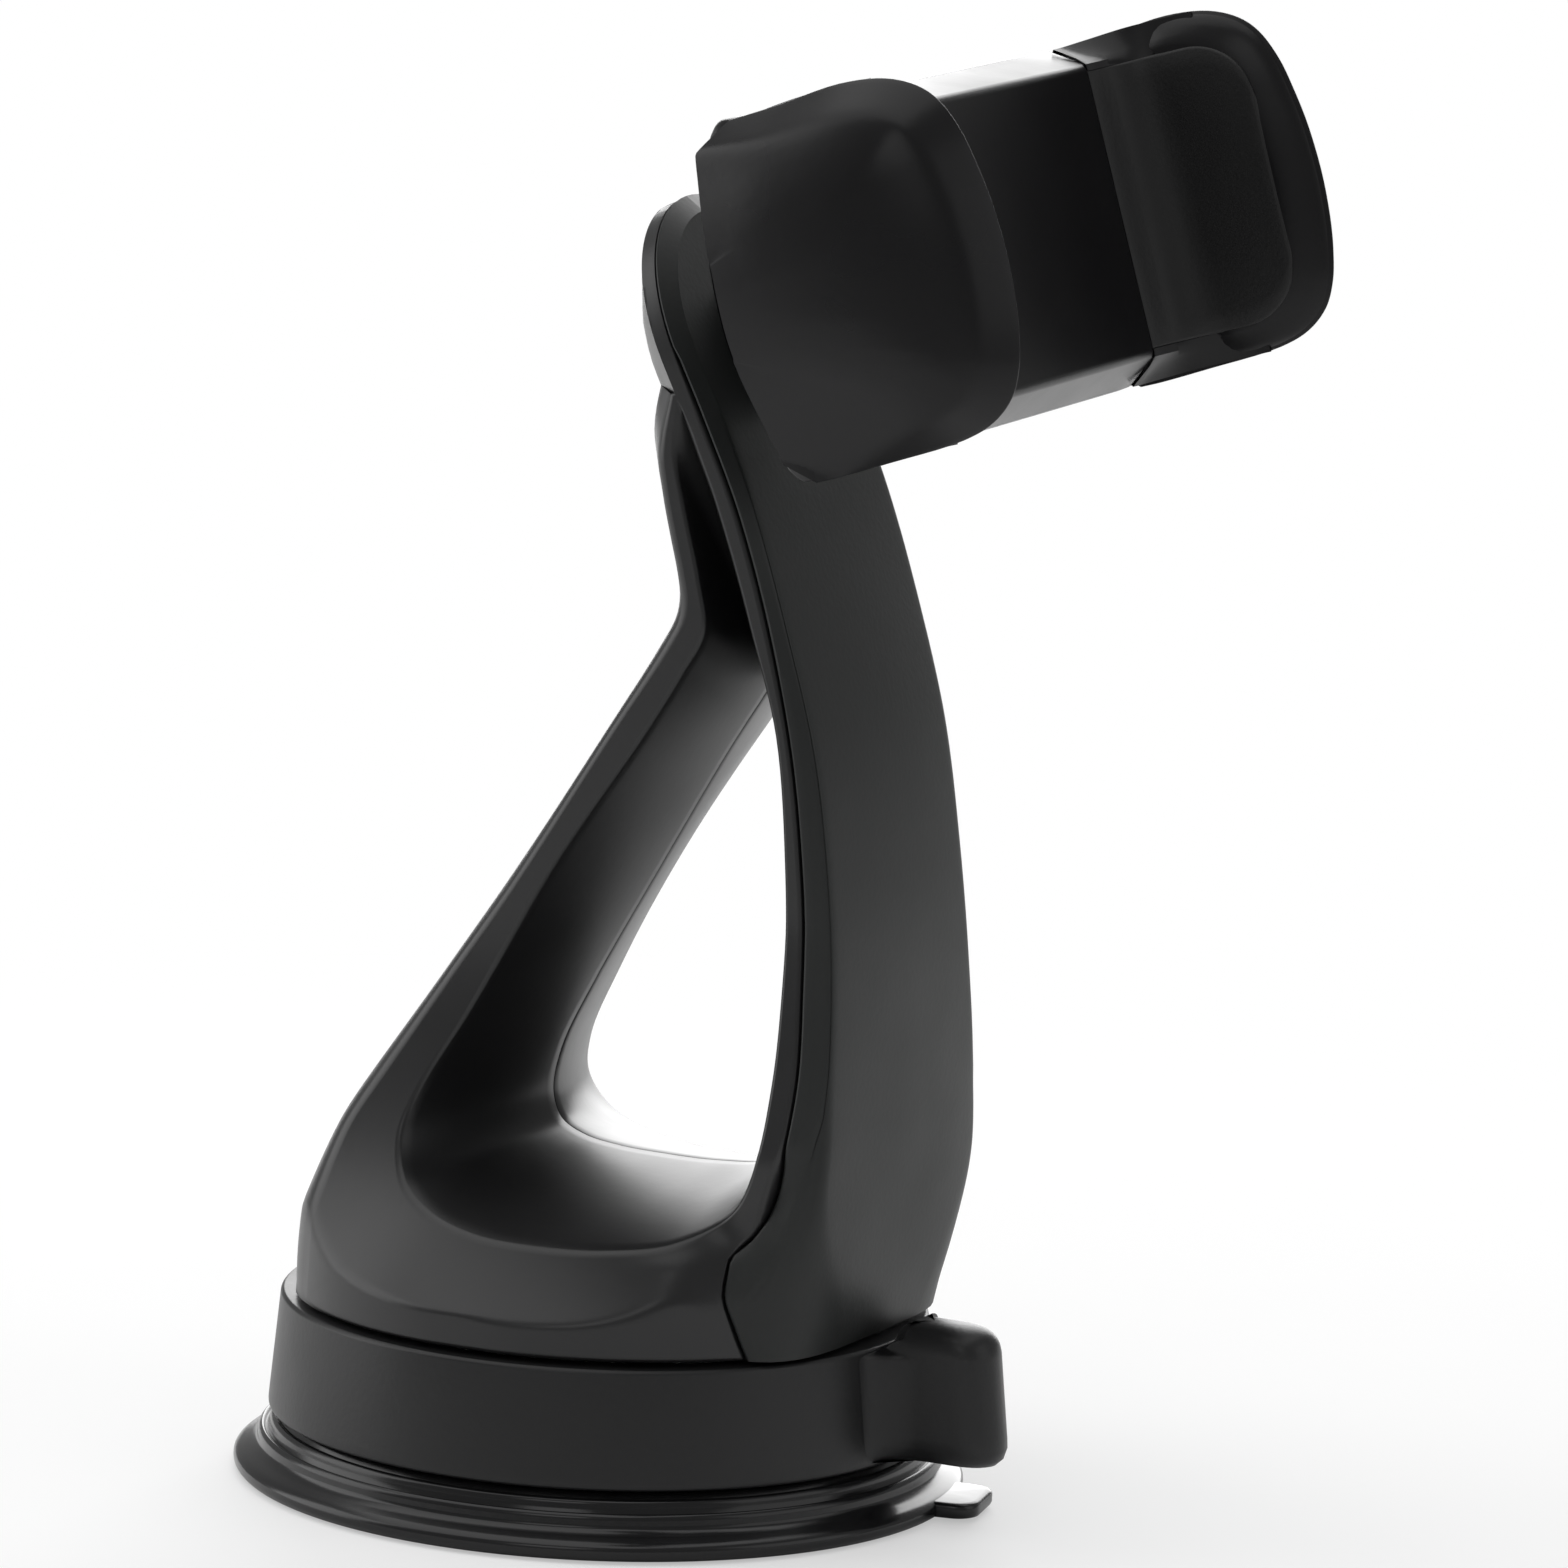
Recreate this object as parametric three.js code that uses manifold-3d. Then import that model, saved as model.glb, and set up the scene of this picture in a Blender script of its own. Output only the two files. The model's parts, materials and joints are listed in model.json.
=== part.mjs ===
// Dashboard phone mount: a gel suction base with a twist lock ring, an arched two-shell arm with a
// front cover, a ball joint and a spring clamp whose two jaws are geared together.
// Millimetres, +Z up. The origin is the centre of the suction cup's underside and the phone faces -Y.
import * as THREE from 'three';
import * as BufferGeometryUtils from 'three/addons/utils/BufferGeometryUtils.js';
import Module from 'manifold-3d';

const wasm = await Module();
wasm.setup();

const DEG = Math.PI / 180;

// General fits
const turning_gap = 0.3;
const sliding_gap = 0.4;
const seam_gap = 0.3;
const wall = 2;

// Suction cup and gel pad
const cup_radius = 40;
const cup_top_height = 6.6;
const gel_thickness = 1.6;
const gel_radius = 37.4;
const pull_tab_angle = -79;
const pull_tab_reach = 3.8;
const pull_tab_width = 9;

// Plunger that lifts the middle of the cup
const plunger_flange_radius = 10;
const plunger_flange_bottom = 3.5;
const plunger_flange_top = 4.8;
const plunger_post_radius = 5;
const spoke_count = 3;
const spoke_width = 4;
const spoke_bottom = 10.4;
const spoke_top = 12.6;
const plunger_lift = 2.5;
const lock_turn = 60;

// Base housing and lock ring
const housing_radius = 31.4;
const housing_wall = 2.2;
const housing_flange_radius = 34;
const housing_flange_top = 7.7;
const housing_plate_bottom = 16.9;
const housing_plate_top = 18.9;
const ring_radius = 35.4;
const ring_flare = 1;
const ring_bottom = 6.9;
const ring_top = 19.9;
const groove_depth = 1.9;
const cover_clearance_radius = 38.2;
const wing_reach = 48.8;
const wing_thickness = 8;
const wing_bottom = 7.4;
const wing_top = 22.6;
const wing_corner = 4;
const wing_root_fillet = 6;

// Arm
const arm_bottom = ring_top + sliding_gap;
const arm_foot_radius = 34.3;
const strip_half_width = 17.2;
const bell_spread = 17;
const bell_height = 45;
const spine_top = 122;
const strip_back_edge = 2.5;
const paddle_radius = 17.3;
const paddle_tilt = 27.5;
const paddle_centre_z = 125.7;
const paddle_edge = 2.3;
const paddle_depth = 6;
const cover_edge_facet = 2.2;
const cover_paddle_thickness = 1.4;

// Self-tapping screws
const screw_radius = 1.05;
const screw_hole_radius = 1.35;
const screw_head_radius = 2.3;
const screw_head_height = 1.6;
const boss_radius = 3.5;

// Ball joint
const ball_radius = 8.5;
const ball_distance = 11.6;
const neck_radius = 4;
const stud_flange_radius = 7;
const stud_flange_thickness = 1.2;
const shank_radius = 2.4;
const nut_radius = 4.6;
const nut_thickness = 2.4;
const liner_thickness = 0.8;
const liner_gap = 0.3;
const socket_radius = ball_radius + liner_thickness + 2 * liner_gap;
const socket_opening_angle = 65;
const ring_edge_angle = 58;
const cap_edge_angle = 34;
const socket_outer_radius = 12.2;
const locking_nut_radius = 15.2;
const locking_nut_length = 8.5;
const locking_nut_ribs = 12;

// Phone holder, in its own frame: x across, y from the phone to the back, z up the phone
const holder_tilt = 17;
const holder_spin = 1.5;
const ball_y = 39.2;
const ball_z = 7.45;
const plate_front = 20;
const plate_seam = 26;
const plate_back = 30;
const plate_wall = 2;
const plate_bottom_z = -6;
const plate_top_z = 26;
const plate_low_edge = -9;
const plate_high_edge = 28.6;
const housing_half_width = 38.9;
const jaw_inner_x = 39.2;
const jaw_outer_x = 48.2;
const jaw_foot_reach = 5.2;
const foot_seat_depth = 0.4;
const jaw_front = -1.3;
const jaw_back = 30;
const jaw_low = -9.2;
const jaw_high = 31.2;
const jaw_pad_front = 3.8;
const jaw_pad_back = 19.2;
const jaw_pad_low = -4.8;
const jaw_pad_high = 26.2;
const jaw_pad_x = 38.6;
const jaw_pad_pocket = 1.5;
const gear_module = 1;
const pinion_teeth = 10;
const pinion_z = 9.75;
const pinion_pin_radius = 1.6;
const rack_front = 23;
const rack_back = 27;
const rack_height = 3.6;
const rack_inner_end = -14;
const spring_radius = 1.7;
const spring_wire = 0.5;

// ---------------------------------------------------------------- geometry helpers

function vectors(list) {
  return list.map((p) => new THREE.Vector2(p[0], p[1]));
}

// Merge equal points, drop slivers of no area and turn the faces outward.
function closedGeometry(source) {
  const bare = source.clone();
  bare.deleteAttribute('normal');
  bare.deleteAttribute('uv');
  const merged = BufferGeometryUtils.mergeVertices(bare, 1e-5);
  const position = merged.getAttribute('position');
  const index = [];
  let volume = 0;
  const a = new THREE.Vector3();
  const b = new THREE.Vector3();
  const c = new THREE.Vector3();
  for (let i = 0; i < merged.index.count; i += 3) {
    const i0 = merged.index.getX(i);
    const i1 = merged.index.getX(i + 1);
    const i2 = merged.index.getX(i + 2);
    if (i0 === i1 || i1 === i2 || i2 === i0) continue;
    a.fromBufferAttribute(position, i0);
    b.fromBufferAttribute(position, i1);
    c.fromBufferAttribute(position, i2);
    volume += a.dot(b.clone().cross(c));
    index.push(i0, i1, i2);
  }
  if (volume < 0) index.reverse();
  const geometry = new THREE.BufferGeometry();
  geometry.setAttribute('position', position.clone());
  geometry.setIndex(index);
  return geometry;
}

function solidOf(source) {
  const geometry = closedGeometry(source);
  return new wasm.Manifold(new wasm.Mesh({
    numProp: 3,
    vertProperties: new Float32Array(geometry.getAttribute('position').array),
    triVerts: new Uint32Array(geometry.index.array),
  }));
}

function geometryOf(solid) {
  const mesh = solid.getMesh();
  const geometry = new THREE.BufferGeometry();
  geometry.setAttribute('position', new THREE.BufferAttribute(new Float32Array(mesh.vertProperties), 3));
  geometry.setIndex(new THREE.BufferAttribute(new Uint32Array(mesh.triVerts), 1));
  geometry.computeVertexNormals();
  return geometry;
}

// Skin over rings with the same number of points, with a fan of triangles on both ends.
function loft(rings) {
  const count = rings[0].length;
  const position = [];
  const index = [];
  for (const ring of rings) {
    for (const p of ring) position.push(p.x, p.y, p.z);
  }
  for (let r = 0; r + 1 < rings.length; r += 1) {
    for (let i = 0; i < count; i += 1) {
      const j = (i + 1) % count;
      const low = r * count;
      const high = low + count;
      index.push(low + i, low + j, high + j);
      index.push(low + i, high + j, high + i);
    }
  }
  for (const end of [0, rings.length - 1]) {
    const middle = new THREE.Vector3();
    for (const p of rings[end]) middle.add(p);
    middle.divideScalar(count);
    position.push(middle.x, middle.y, middle.z);
    const m = position.length / 3 - 1;
    for (let i = 0; i < count; i += 1) {
      const j = (i + 1) % count;
      if (end === 0) index.push(m, end * count + j, end * count + i);
      else index.push(m, end * count + i, end * count + j);
    }
  }
  const geometry = new THREE.BufferGeometry();
  geometry.setAttribute('position', new THREE.Float32BufferAttribute(position, 3));
  geometry.setIndex(index);
  return geometry;
}

// Closed profile of (radius, height) points turned about +Z.
function turned(profile, segments) {
  const loop = vectors([...profile, profile[0]]);
  return new THREE.LatheGeometry(loop, segments).rotateX(Math.PI / 2);
}

// Cylinder about +Z from z0 to z1.
function rod(radius, z0, z1, segments = 20) {
  const geometry = new THREE.CylinderGeometry(radius, radius, z1 - z0, segments);
  return geometry.rotateX(Math.PI / 2).translate(0, 0, (z0 + z1) / 2);
}

function block(x0, x1, y0, y1, z0, z1) {
  const geometry = new THREE.BoxGeometry(x1 - x0, y1 - y0, z1 - z0);
  return geometry.translate((x0 + x1) / 2, (y0 + y1) / 2, (z0 + z1) / 2);
}

// Outline in the plane across an axis, pushed along it. axis 'x' takes (y, z) points,
// 'y' takes (x, z) points and 'z' takes (x, y) points.
function prism(points, axis, from, to) {
  const rings = [from, to].map((d) => points.map((p) => {
    if (axis === 'x') return new THREE.Vector3(d, p[0], p[1]);
    if (axis === 'y') return new THREE.Vector3(p[0], d, p[1]);
    return new THREE.Vector3(p[0], p[1], d);
  }));
  const faces = THREE.ShapeUtils.triangulateShape(vectors(points), []);
  const count = points.length;
  const position = [];
  for (const ring of rings) {
    for (const p of ring) position.push(p.x, p.y, p.z);
  }
  const index = [];
  for (let i = 0; i < count; i += 1) {
    const j = (i + 1) % count;
    index.push(i, j, count + j, i, count + j, count + i);
  }
  const turn = THREE.ShapeUtils.area(vectors(points)) > 0;
  for (const f of faces) {
    const [p, q, r] = turn ? f : [f[0], f[2], f[1]];
    index.push(r, q, p);
    index.push(count + p, count + q, count + r);
  }
  const geometry = new THREE.BufferGeometry();
  geometry.setAttribute('position', new THREE.Float32BufferAttribute(position, 3));
  geometry.setIndex(index);
  return geometry;
}

// Rectangle with its own radius at each corner, counterclockwise from the low left corner.
function roundedBox(u0, u1, v0, v1, radii, steps = 5) {
  const corners = [
    [u0 + radii[0], v0 + radii[0], radii[0], 180],
    [u1 - radii[1], v0 + radii[1], radii[1], 270],
    [u1 - radii[2], v1 - radii[2], radii[2], 0],
    [u0 + radii[3], v1 - radii[3], radii[3], 90],
  ];
  const points = [];
  for (const [cu, cv, r, start] of corners) {
    for (let i = 0; i <= steps; i += 1) {
      const a = (start + (90 * i) / steps) * DEG;
      points.push([cu + r * Math.cos(a), cv + r * Math.sin(a)]);
    }
  }
  return points;
}

// Smooth height curve through (z, y) knots.
function along(knots, z) {
  const last = knots.length - 1;
  if (z <= knots[0][0]) return knots[0][1];
  if (z >= knots[last][0]) return knots[last][1];
  let k = 0;
  while (z > knots[k + 1][0]) k += 1;
  const slope = (i) => {
    const a = knots[Math.max(i - 1, 0)];
    const b = knots[Math.min(i + 1, last)];
    return (b[1] - a[1]) / (b[0] - a[0]);
  };
  const span = knots[k + 1][0] - knots[k][0];
  const t = (z - knots[k][0]) / span;
  const h1 = 2 * t ** 3 - 3 * t ** 2 + 1;
  const h2 = t ** 3 - 2 * t ** 2 + t;
  const h3 = -2 * t ** 3 + 3 * t ** 2;
  const h4 = t ** 3 - t ** 2;
  return h1 * knots[k][1] + h2 * span * slope(k) + h3 * knots[k + 1][1] + h4 * span * slope(k + 1);
}

function clamp01(value) {
  return Math.min(Math.max(value, 0), 1);
}

function steps(from, to, count) {
  return Array.from({ length: count + 1 }, (_, i) => from + ((to - from) * i) / count);
}

// Helical wire as one closed skin, its axis along +Z.
function coil(radius, wire, turns, height, sides = 5, perTurn = 9) {
  const rings = steps(0, 1, Math.round(turns * perTurn)).map((t) => {
    const a = t * turns * 2 * Math.PI;
    return steps(0, 1, sides).slice(0, sides).map((s) => {
      const b = s * 2 * Math.PI;
      const r = radius + wire * Math.cos(b);
      return new THREE.Vector3(r * Math.cos(a), r * Math.sin(a), t * height + wire * Math.sin(b));
    });
  });
  return loft(rings);
}

// ---------------------------------------------------------------- materials

function plastic(color, roughness) {
  return new THREE.MeshStandardMaterial({ color, roughness, metalness: 0 });
}

function glossyBody() {
  return plastic(0x161718, 0.28);
}

function satinCover() {
  return plastic(0x2b2d2c, 0.5);
}

function satinRing() {
  return plastic(0x1b1c1d, 0.42);
}

function cupRubber() {
  return plastic(0x121314, 0.35);
}

function padRubber() {
  return plastic(0x1d1e1f, 0.75);
}

function gel() {
  return plastic(0x202224, 0.2);
}

function innerPlastic() {
  return plastic(0x232425, 0.5);
}

function steel() {
  return new THREE.MeshStandardMaterial({ color: 0xa9adb1, roughness: 0.3, metalness: 1 });
}

const phoneMount = new THREE.Group();

function add(name, geometry, material, parent = phoneMount) {
  const mesh = new THREE.Mesh(closedGeometry(geometry), material);
  mesh.geometry.computeVertexNormals();
  mesh.name = name;
  parent.add(mesh);
  return mesh;
}

// ---------------------------------------------------------------- suction base

function suctionCup() {
  const gel_seat = gel_radius + turning_gap;
  const pocket = plunger_flange_radius + turning_gap;
  const neck = plunger_post_radius + turning_gap;
  const profile = [
    [0, gel_thickness],
    [gel_seat, gel_thickness],
    [gel_seat, 0],
    [cup_radius - 0.4, 0],
    [cup_radius, 0.5],
    [cup_radius, 1.6],
    [cup_radius - 0.5, 2.1],
    [cup_radius - 1.1, 2.2],
    [cup_radius - 1.6, 3.0],
    [cup_radius - 2.4, 3.3],
    [cup_radius - 2.8, 4.3],
    [cup_radius - 3.9, 4.8],
    [cup_radius - 4.5, 5.7],
    [cup_radius - 6.5, cup_top_height],
    [14, cup_top_height],
    [12, cup_top_height + 0.8],
    [neck, cup_top_height + 0.8],
    [neck, plunger_flange_top],
    [pocket, plunger_flange_top],
    [pocket, plunger_flange_bottom - 0.1],
    [0, plunger_flange_bottom - 0.1],
  ];
  const cup = solidOf(new THREE.LatheGeometry(vectors(profile), 36).rotateX(Math.PI / 2));
  const end = pull_tab_width / 2;
  const tongue = roundedBox(-end, end, -cup_radius - pull_tab_reach, -cup_radius + 2, [2.5, 2.5, 0.5, 0.5]);
  const tab = prism(tongue, 'z', 0.4, 1.6).rotateZ((90 + pull_tab_angle) * DEG);
  return geometryOf(cup.add(solidOf(tab)));
}

function gelPad() {
  return rod(gel_radius, 0, gel_thickness, 36);
}

function spokeAngles() {
  return steps(0, 360, spoke_count).slice(0, spoke_count).map((a) => a + 90);
}

function plunger() {
  const profile = [
    [0, plunger_flange_bottom],
    [plunger_flange_radius, plunger_flange_bottom],
    [plunger_flange_radius, plunger_flange_top],
    [plunger_post_radius, plunger_flange_top],
    [plunger_post_radius, spoke_bottom - 1.5],
    [11, spoke_bottom],
    [11, spoke_top],
    [0, spoke_top],
  ];
  let solid = solidOf(new THREE.LatheGeometry(vectors(profile), 24).rotateX(Math.PI / 2));
  const reach = ring_radius - 3.5 + groove_depth - turning_gap;
  for (const angle of spokeAngles()) {
    const arm = block(4, reach, -spoke_width / 2, spoke_width / 2, spoke_bottom, spoke_top);
    solid = solid.add(solidOf(arm.rotateZ(angle * DEG)));
  }
  return geometryOf(solid);
}

function baseHousing(screws) {
  const inner = housing_radius - housing_wall;
  const profile = [
    [26, cup_top_height],
    [housing_flange_radius - 1, cup_top_height],
    [housing_flange_radius, cup_top_height + 0.6],
    [housing_flange_radius, housing_flange_top],
    [housing_radius, housing_flange_top],
    [housing_radius, housing_plate_top],
    [4, housing_plate_top],
    [4, housing_plate_bottom],
    [inner, housing_plate_bottom],
    [inner, housing_flange_top],
    [26, housing_flange_top],
  ];
  let solid = solidOf(turned(profile, 36));
  const half = spoke_width / 2 + sliding_gap;
  for (const angle of spokeAngles()) {
    const slot = block(inner - 3, housing_radius + 1, -half, half,
      spoke_bottom - sliding_gap, spoke_top + plunger_lift + sliding_gap);
    solid = solid.subtract(solidOf(slot.rotateZ(angle * DEG)));
  }
  for (const [x, y] of screws) {
    const hole = rod(screw_hole_radius, housing_plate_bottom - 1, housing_plate_top + 1, 12);
    solid = solid.subtract(solidOf(hole.translate(x, y, 0)));
  }
  return geometryOf(solid);
}

// Helical groove of the lock ring, one section of it at each angle.
function groove(start) {
  const inner = ring_radius - 4.5;
  const outer = ring_radius - 3.5 + groove_depth;
  const rings = steps(-8, lock_turn + 8, 9).map((a) => {
    const rise = plunger_lift * clamp01(a / lock_turn);
    const low = spoke_bottom - sliding_gap + rise;
    const high = spoke_top + sliding_gap + rise;
    const at = (r, z) => new THREE.Vector3(r * Math.cos((start + a) * DEG), r * Math.sin((start + a) * DEG), z);
    return [at(inner, low), at(outer, low), at(outer, high), at(inner, high)];
  });
  return loft(rings);
}

function wing() {
  const half = wing_thickness / 2;
  const fillet = wing_root_fillet;
  const plan = [];
  const root = -ring_radius + 1.5;
  plan.push([half + fillet, root]);
  for (const a of steps(90, 180, 5)) {
    const x = half + fillet + fillet * Math.cos(a * DEG);
    const y = -ring_radius - fillet + 0.6 + fillet * Math.sin(a * DEG);
    plan.push([x, y]);
  }
  for (const a of steps(0, -180, 8)) {
    plan.push([half * Math.cos(a * DEG), -wing_reach + half + half * Math.sin(a * DEG)]);
  }
  const left = plan.slice(0, 7).reverse().map(([x, y]) => [-x, y]);
  const body = prism([...plan, ...left], 'z', wing_bottom, wing_top);
  const side = roundedBox(-wing_reach, -ring_radius + 2, wing_bottom, wing_top,
    [wing_corner, 0.1, 2.5, wing_corner]);
  return solidOf(body).intersect(solidOf(prism(side, 'x', -20, 20)));
}

function lockRing() {
  const bore = housing_radius + 0.5;
  const profile = [
    [housing_flange_radius + 0.4, ring_bottom],
    [ring_radius + ring_flare - 0.4, ring_bottom],
    [ring_radius + ring_flare, ring_bottom + 0.5],
    [ring_radius, ring_top - 0.6],
    [ring_radius - 0.6, ring_top],
    [bore, ring_top],
    [bore, housing_flange_top + 0.2],
    [housing_flange_radius + 0.4, housing_flange_top + 0.2],
  ];
  let solid = solidOf(turned(profile, 42)).add(wing());
  for (const angle of spokeAngles()) solid = solid.subtract(solidOf(groove(angle)));
  const cuts = [
    [cover_clearance_radius, ring_top, wing_top + 2],
    [bore, 0, wing_top + 2],
    [housing_flange_radius + 0.4, 0, housing_flange_top + 0.2],
  ];
  for (const [radius, low, high] of cuts) solid = solid.subtract(solidOf(rod(radius, low, high, 42)));
  return geometryOf(solid);
}

function releaseSpring() {
  const wire = 0.45;
  const height = housing_plate_bottom - spoke_top - 2 * wire - 0.2;
  return coil(8, wire, 2, height, 4, 14).translate(0, 0, spoke_top + wire + 0.1);
}

// Screw along +Z: the head's seat is at z = 0 and the shank points up.
function screw(length) {
  const head = screw_head_radius;
  const profile = [
    [0, length],
    [screw_radius * 0.4, length],
    [screw_radius, length - 1.2],
    [screw_radius, 0],
    [head, 0],
    [head, -screw_head_height + 0.5],
    [head - 0.6, -screw_head_height],
    [0.7, -screw_head_height],
    [0.7, -screw_head_height + 0.8],
    [0, -screw_head_height + 0.8],
  ];
  return new THREE.LatheGeometry(vectors(profile), 8).rotateX(Math.PI / 2);
}

// ---------------------------------------------------------------- arm

// Front seam of the shells, seen from the side, as (z, y).
const seam_line = [[20, -28], [26, -25.6], [31, -25], [36, -27.8], [42, -29.9], [50, -31.2], [60, -30.7],
  [72, -29.8], [85, -27.9], [98, -24.6], [110, -20.5], [120, -15.8], [125, -13.2], [145, -2.8]];
// Edge of the cover's front face, as (z, y).
const cover_line = [[20, -32.4], [24, -33.4], [30, -34.2], [37, -34.7], [45, -34.7], [60, -33.8],
  [72, -32.4], [85, -30.1], [97, -26.5], [110, -21.9], [120, -17.4], [125, -14.78], [145, -4.38]];
// Back ridge of the dome and strut on the middle plane.
const ridge_line = [[20, 34.3], [26, 34.3], [32, 32.8], [42, 27.6], [56, 18], [66, 11.4], [75, 5.3],
  [85, -1.2], [94, -6.4], [99, -8.8], [103, -9.2], [111, -7.4], [116, -6.7], [122, -8]];
// Outer crease between the ridge faces and the side.
const crease_line = [[20, 24], [30, 23.2], [39, 21.6], [45, 18.6], [57, 11.3], [68, 3.9], [85, -6.6],
  [97, -14.1], [100, -14.75], [103, -14.2], [107, -13.1], [111.4, -12], [115.7, -11.3], [122, -12.3]];

// Loop of the opening on the side of the arm and on its middle plane, as (y, z). On the sides it
// runs on upward as a narrow valley between the strip under the cover and the strut.
const opening_side = [[-13.3, 121.5], [-13.4, 113.5], [-16.2, 103.5], [-17.4, 97], [-14.9, 92.6],
  [-10.6, 85.3], [0, 69.3], [8.9, 52.8], [14.2, 42], [13.2, 36], [8.5, 32.8], [-5, 31], [-18.5, 31.6],
  [-26.6, 37], [-28.2, 50], [-28.5, 68], [-25.7, 88.5], [-22.5, 98.5], [-18.6, 109.5]];
const opening_middle = [[-19.6, 92.8], [-19.2, 92.4], [-18.5, 91.6], [-17.3, 89.8], [-15.6, 87],
  [-12.5, 82], [-4.6, 68], [3, 54.2], [7.4, 43.2], [6.6, 39.6], [3.4, 37.5], [-6, 36.6], [-17, 36.9],
  [-24.2, 41], [-26, 52], [-26.2, 67], [-23.8, 85], [-21.4, 90.6], [-20.2, 92.4]];

function sideHalfWidth(z) {
  return strip_half_width + bell_spread * clamp01(1 - (z - 20) / bell_height) ** 1.6;
}

function seamHalfWidth(z) {
  return strip_half_width - 0.1 + 3.6 * clamp01(1 - (z - 42) / 25) ** 1.3 + 2.6 * clamp01((35 - z) / 4);
}

function footRadius(z) {
  return arm_foot_radius + 0.05 * Math.max(0, z - 30) ** 1.5;
}

// Horizontal outline of the shells at height z, drawn inward by inset.
function bodySection(z, inset, front_shift) {
  const front = along(seam_line, z) + front_shift;
  const edge = along(seam_line, z) + strip_back_edge + front_shift;
  const ridge = along(ridge_line, z) - inset * 1.1;
  const crease = along(crease_line, z) - inset * 1.2;
  const side = sideHalfWidth(z) - inset;
  const strip = seamHalfWidth(z) - inset;
  const limit = footRadius(z) - inset;
  const round = (x, y) => [Math.min(x, Math.sqrt(Math.max(limit * limit - y * y, 0.04))), y];
  const half = [round(strip, front)];
  half.push(round(strip + 0.2 * Math.max(side - strip, 0), edge));
  for (const t of steps(0, 1, 3)) half.push(round(side, edge + 0.05 + (crease - edge - 0.05) * t));
  for (const t of [0.35, 0.7]) {
    half.push(round(side * (1 - t ** 1.6), crease + (ridge - crease) * t));
  }
  const back = [0, ridge];
  const mirrored = half.map(([x, y]) => [-x, y]).reverse();
  return [[0, front], ...half, back, ...mirrored].map(([x, y]) => new THREE.Vector3(x, y, z));
}

function heights(top) {
  const list = [arm_bottom, 23.5, 27, 31, 36, 42, 50, 60, 72, 85, 94, 100, 105, 111, 116.5, spine_top];
  return list.filter((z) => z <= top);
}

// Cutter for the opening, grown by the given margin.
function openingCutter(margin, count) {
  const curve = (list) => new THREE.CatmullRomCurve3(
    list.map(([y, z]) => new THREE.Vector3(0, y, z)), true, 'centripetal');
  const side = curve(opening_side);
  const middle = curve(opening_middle);
  const rings = [-1.6, -1, -0.75, -0.4, 0, 0.4, 0.75, 1, 1.6].map((s) => steps(0, 1, count).slice(0, count).map((t) => {
    const blend = Math.min(Math.abs(s), 1) ** 1.5;
    const grow = (path) => {
      const p = path.getPoint(t);
      const d = path.getTangent(t);
      return [p.y - margin * d.z, p.z + margin * d.y];
    };
    const [ys, zs] = grow(side);
    const [ym, zm] = grow(middle);
    const y = ym + (ys - ym) * blend;
    const z = zm + (zs - zm) * blend;
    return new THREE.Vector3(s * sideHalfWidth(z), y, z);
  }));
  return solidOf(loft(rings));
}

// Rounded upper end of the arm, in the plane of the seam: x across, y up the slope.
function paddleOutline(inset) {
  const r = paddle_radius - inset;
  const points = steps(0, 180, 14).map((a) => [r * Math.cos(a * DEG), r * Math.sin(a * DEG)]);
  return [[r, -5], ...points, [-r, -5]];
}

// Layers of the rounded end: each is (depth behind the seam plane, inset).
function paddle(layers) {
  const rings = layers.map(([depth, inset]) => paddleOutline(inset)
    .map(([x, y]) => new THREE.Vector3(x, y, -depth)));
  return onPaddle(loft(rings));
}

// Put a shape drawn about the end's centre, z along its outward normal, in place.
function onPaddle(geometry) {
  return geometry.rotateX((90 - paddle_tilt) * DEG).translate(0, along(seam_line, paddle_centre_z), paddle_centre_z);
}

function armBody() {
  const trunk = solidOf(loft(heights(spine_top).map((z) => bodySection(z, 0, 0))));
  const end = solidOf(paddle([[paddle_depth, 6], [paddle_edge, 0], [0, 0]]));
  return trunk.add(end).subtract(openingCutter(0, 38));
}

function armCavity() {
  const shift = (z) => wall + 0.2 + 5 * clamp01((z - 27) / 4);
  const list = [arm_bottom, 27, 33, 42, 60, 85, 94].map((z) => bodySection(z, wall, shift(z)));
  const low = bodySection(arm_bottom, wall, shift(arm_bottom)).map((p) => p.setZ(arm_bottom - 2));
  return solidOf(loft([low, ...list])).subtract(openingCutter(wall, 19));
}

// Cross screws that close the two shells, as (y, z), and upright screws into the base.
const cross_screws = [[-17.2, 106], [4, 66], [21.5, 33]];
const base_screws = [[18, 5.5], [-18, 5.5], [15, -14], [-15, -14]];
const cross_seat = 4;
const cross_length = 11;
const base_screw_length = 9;

function along_x(geometry, y, z) {
  return geometry.rotateY(Math.PI / 2).translate(0, y, z);
}

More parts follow.
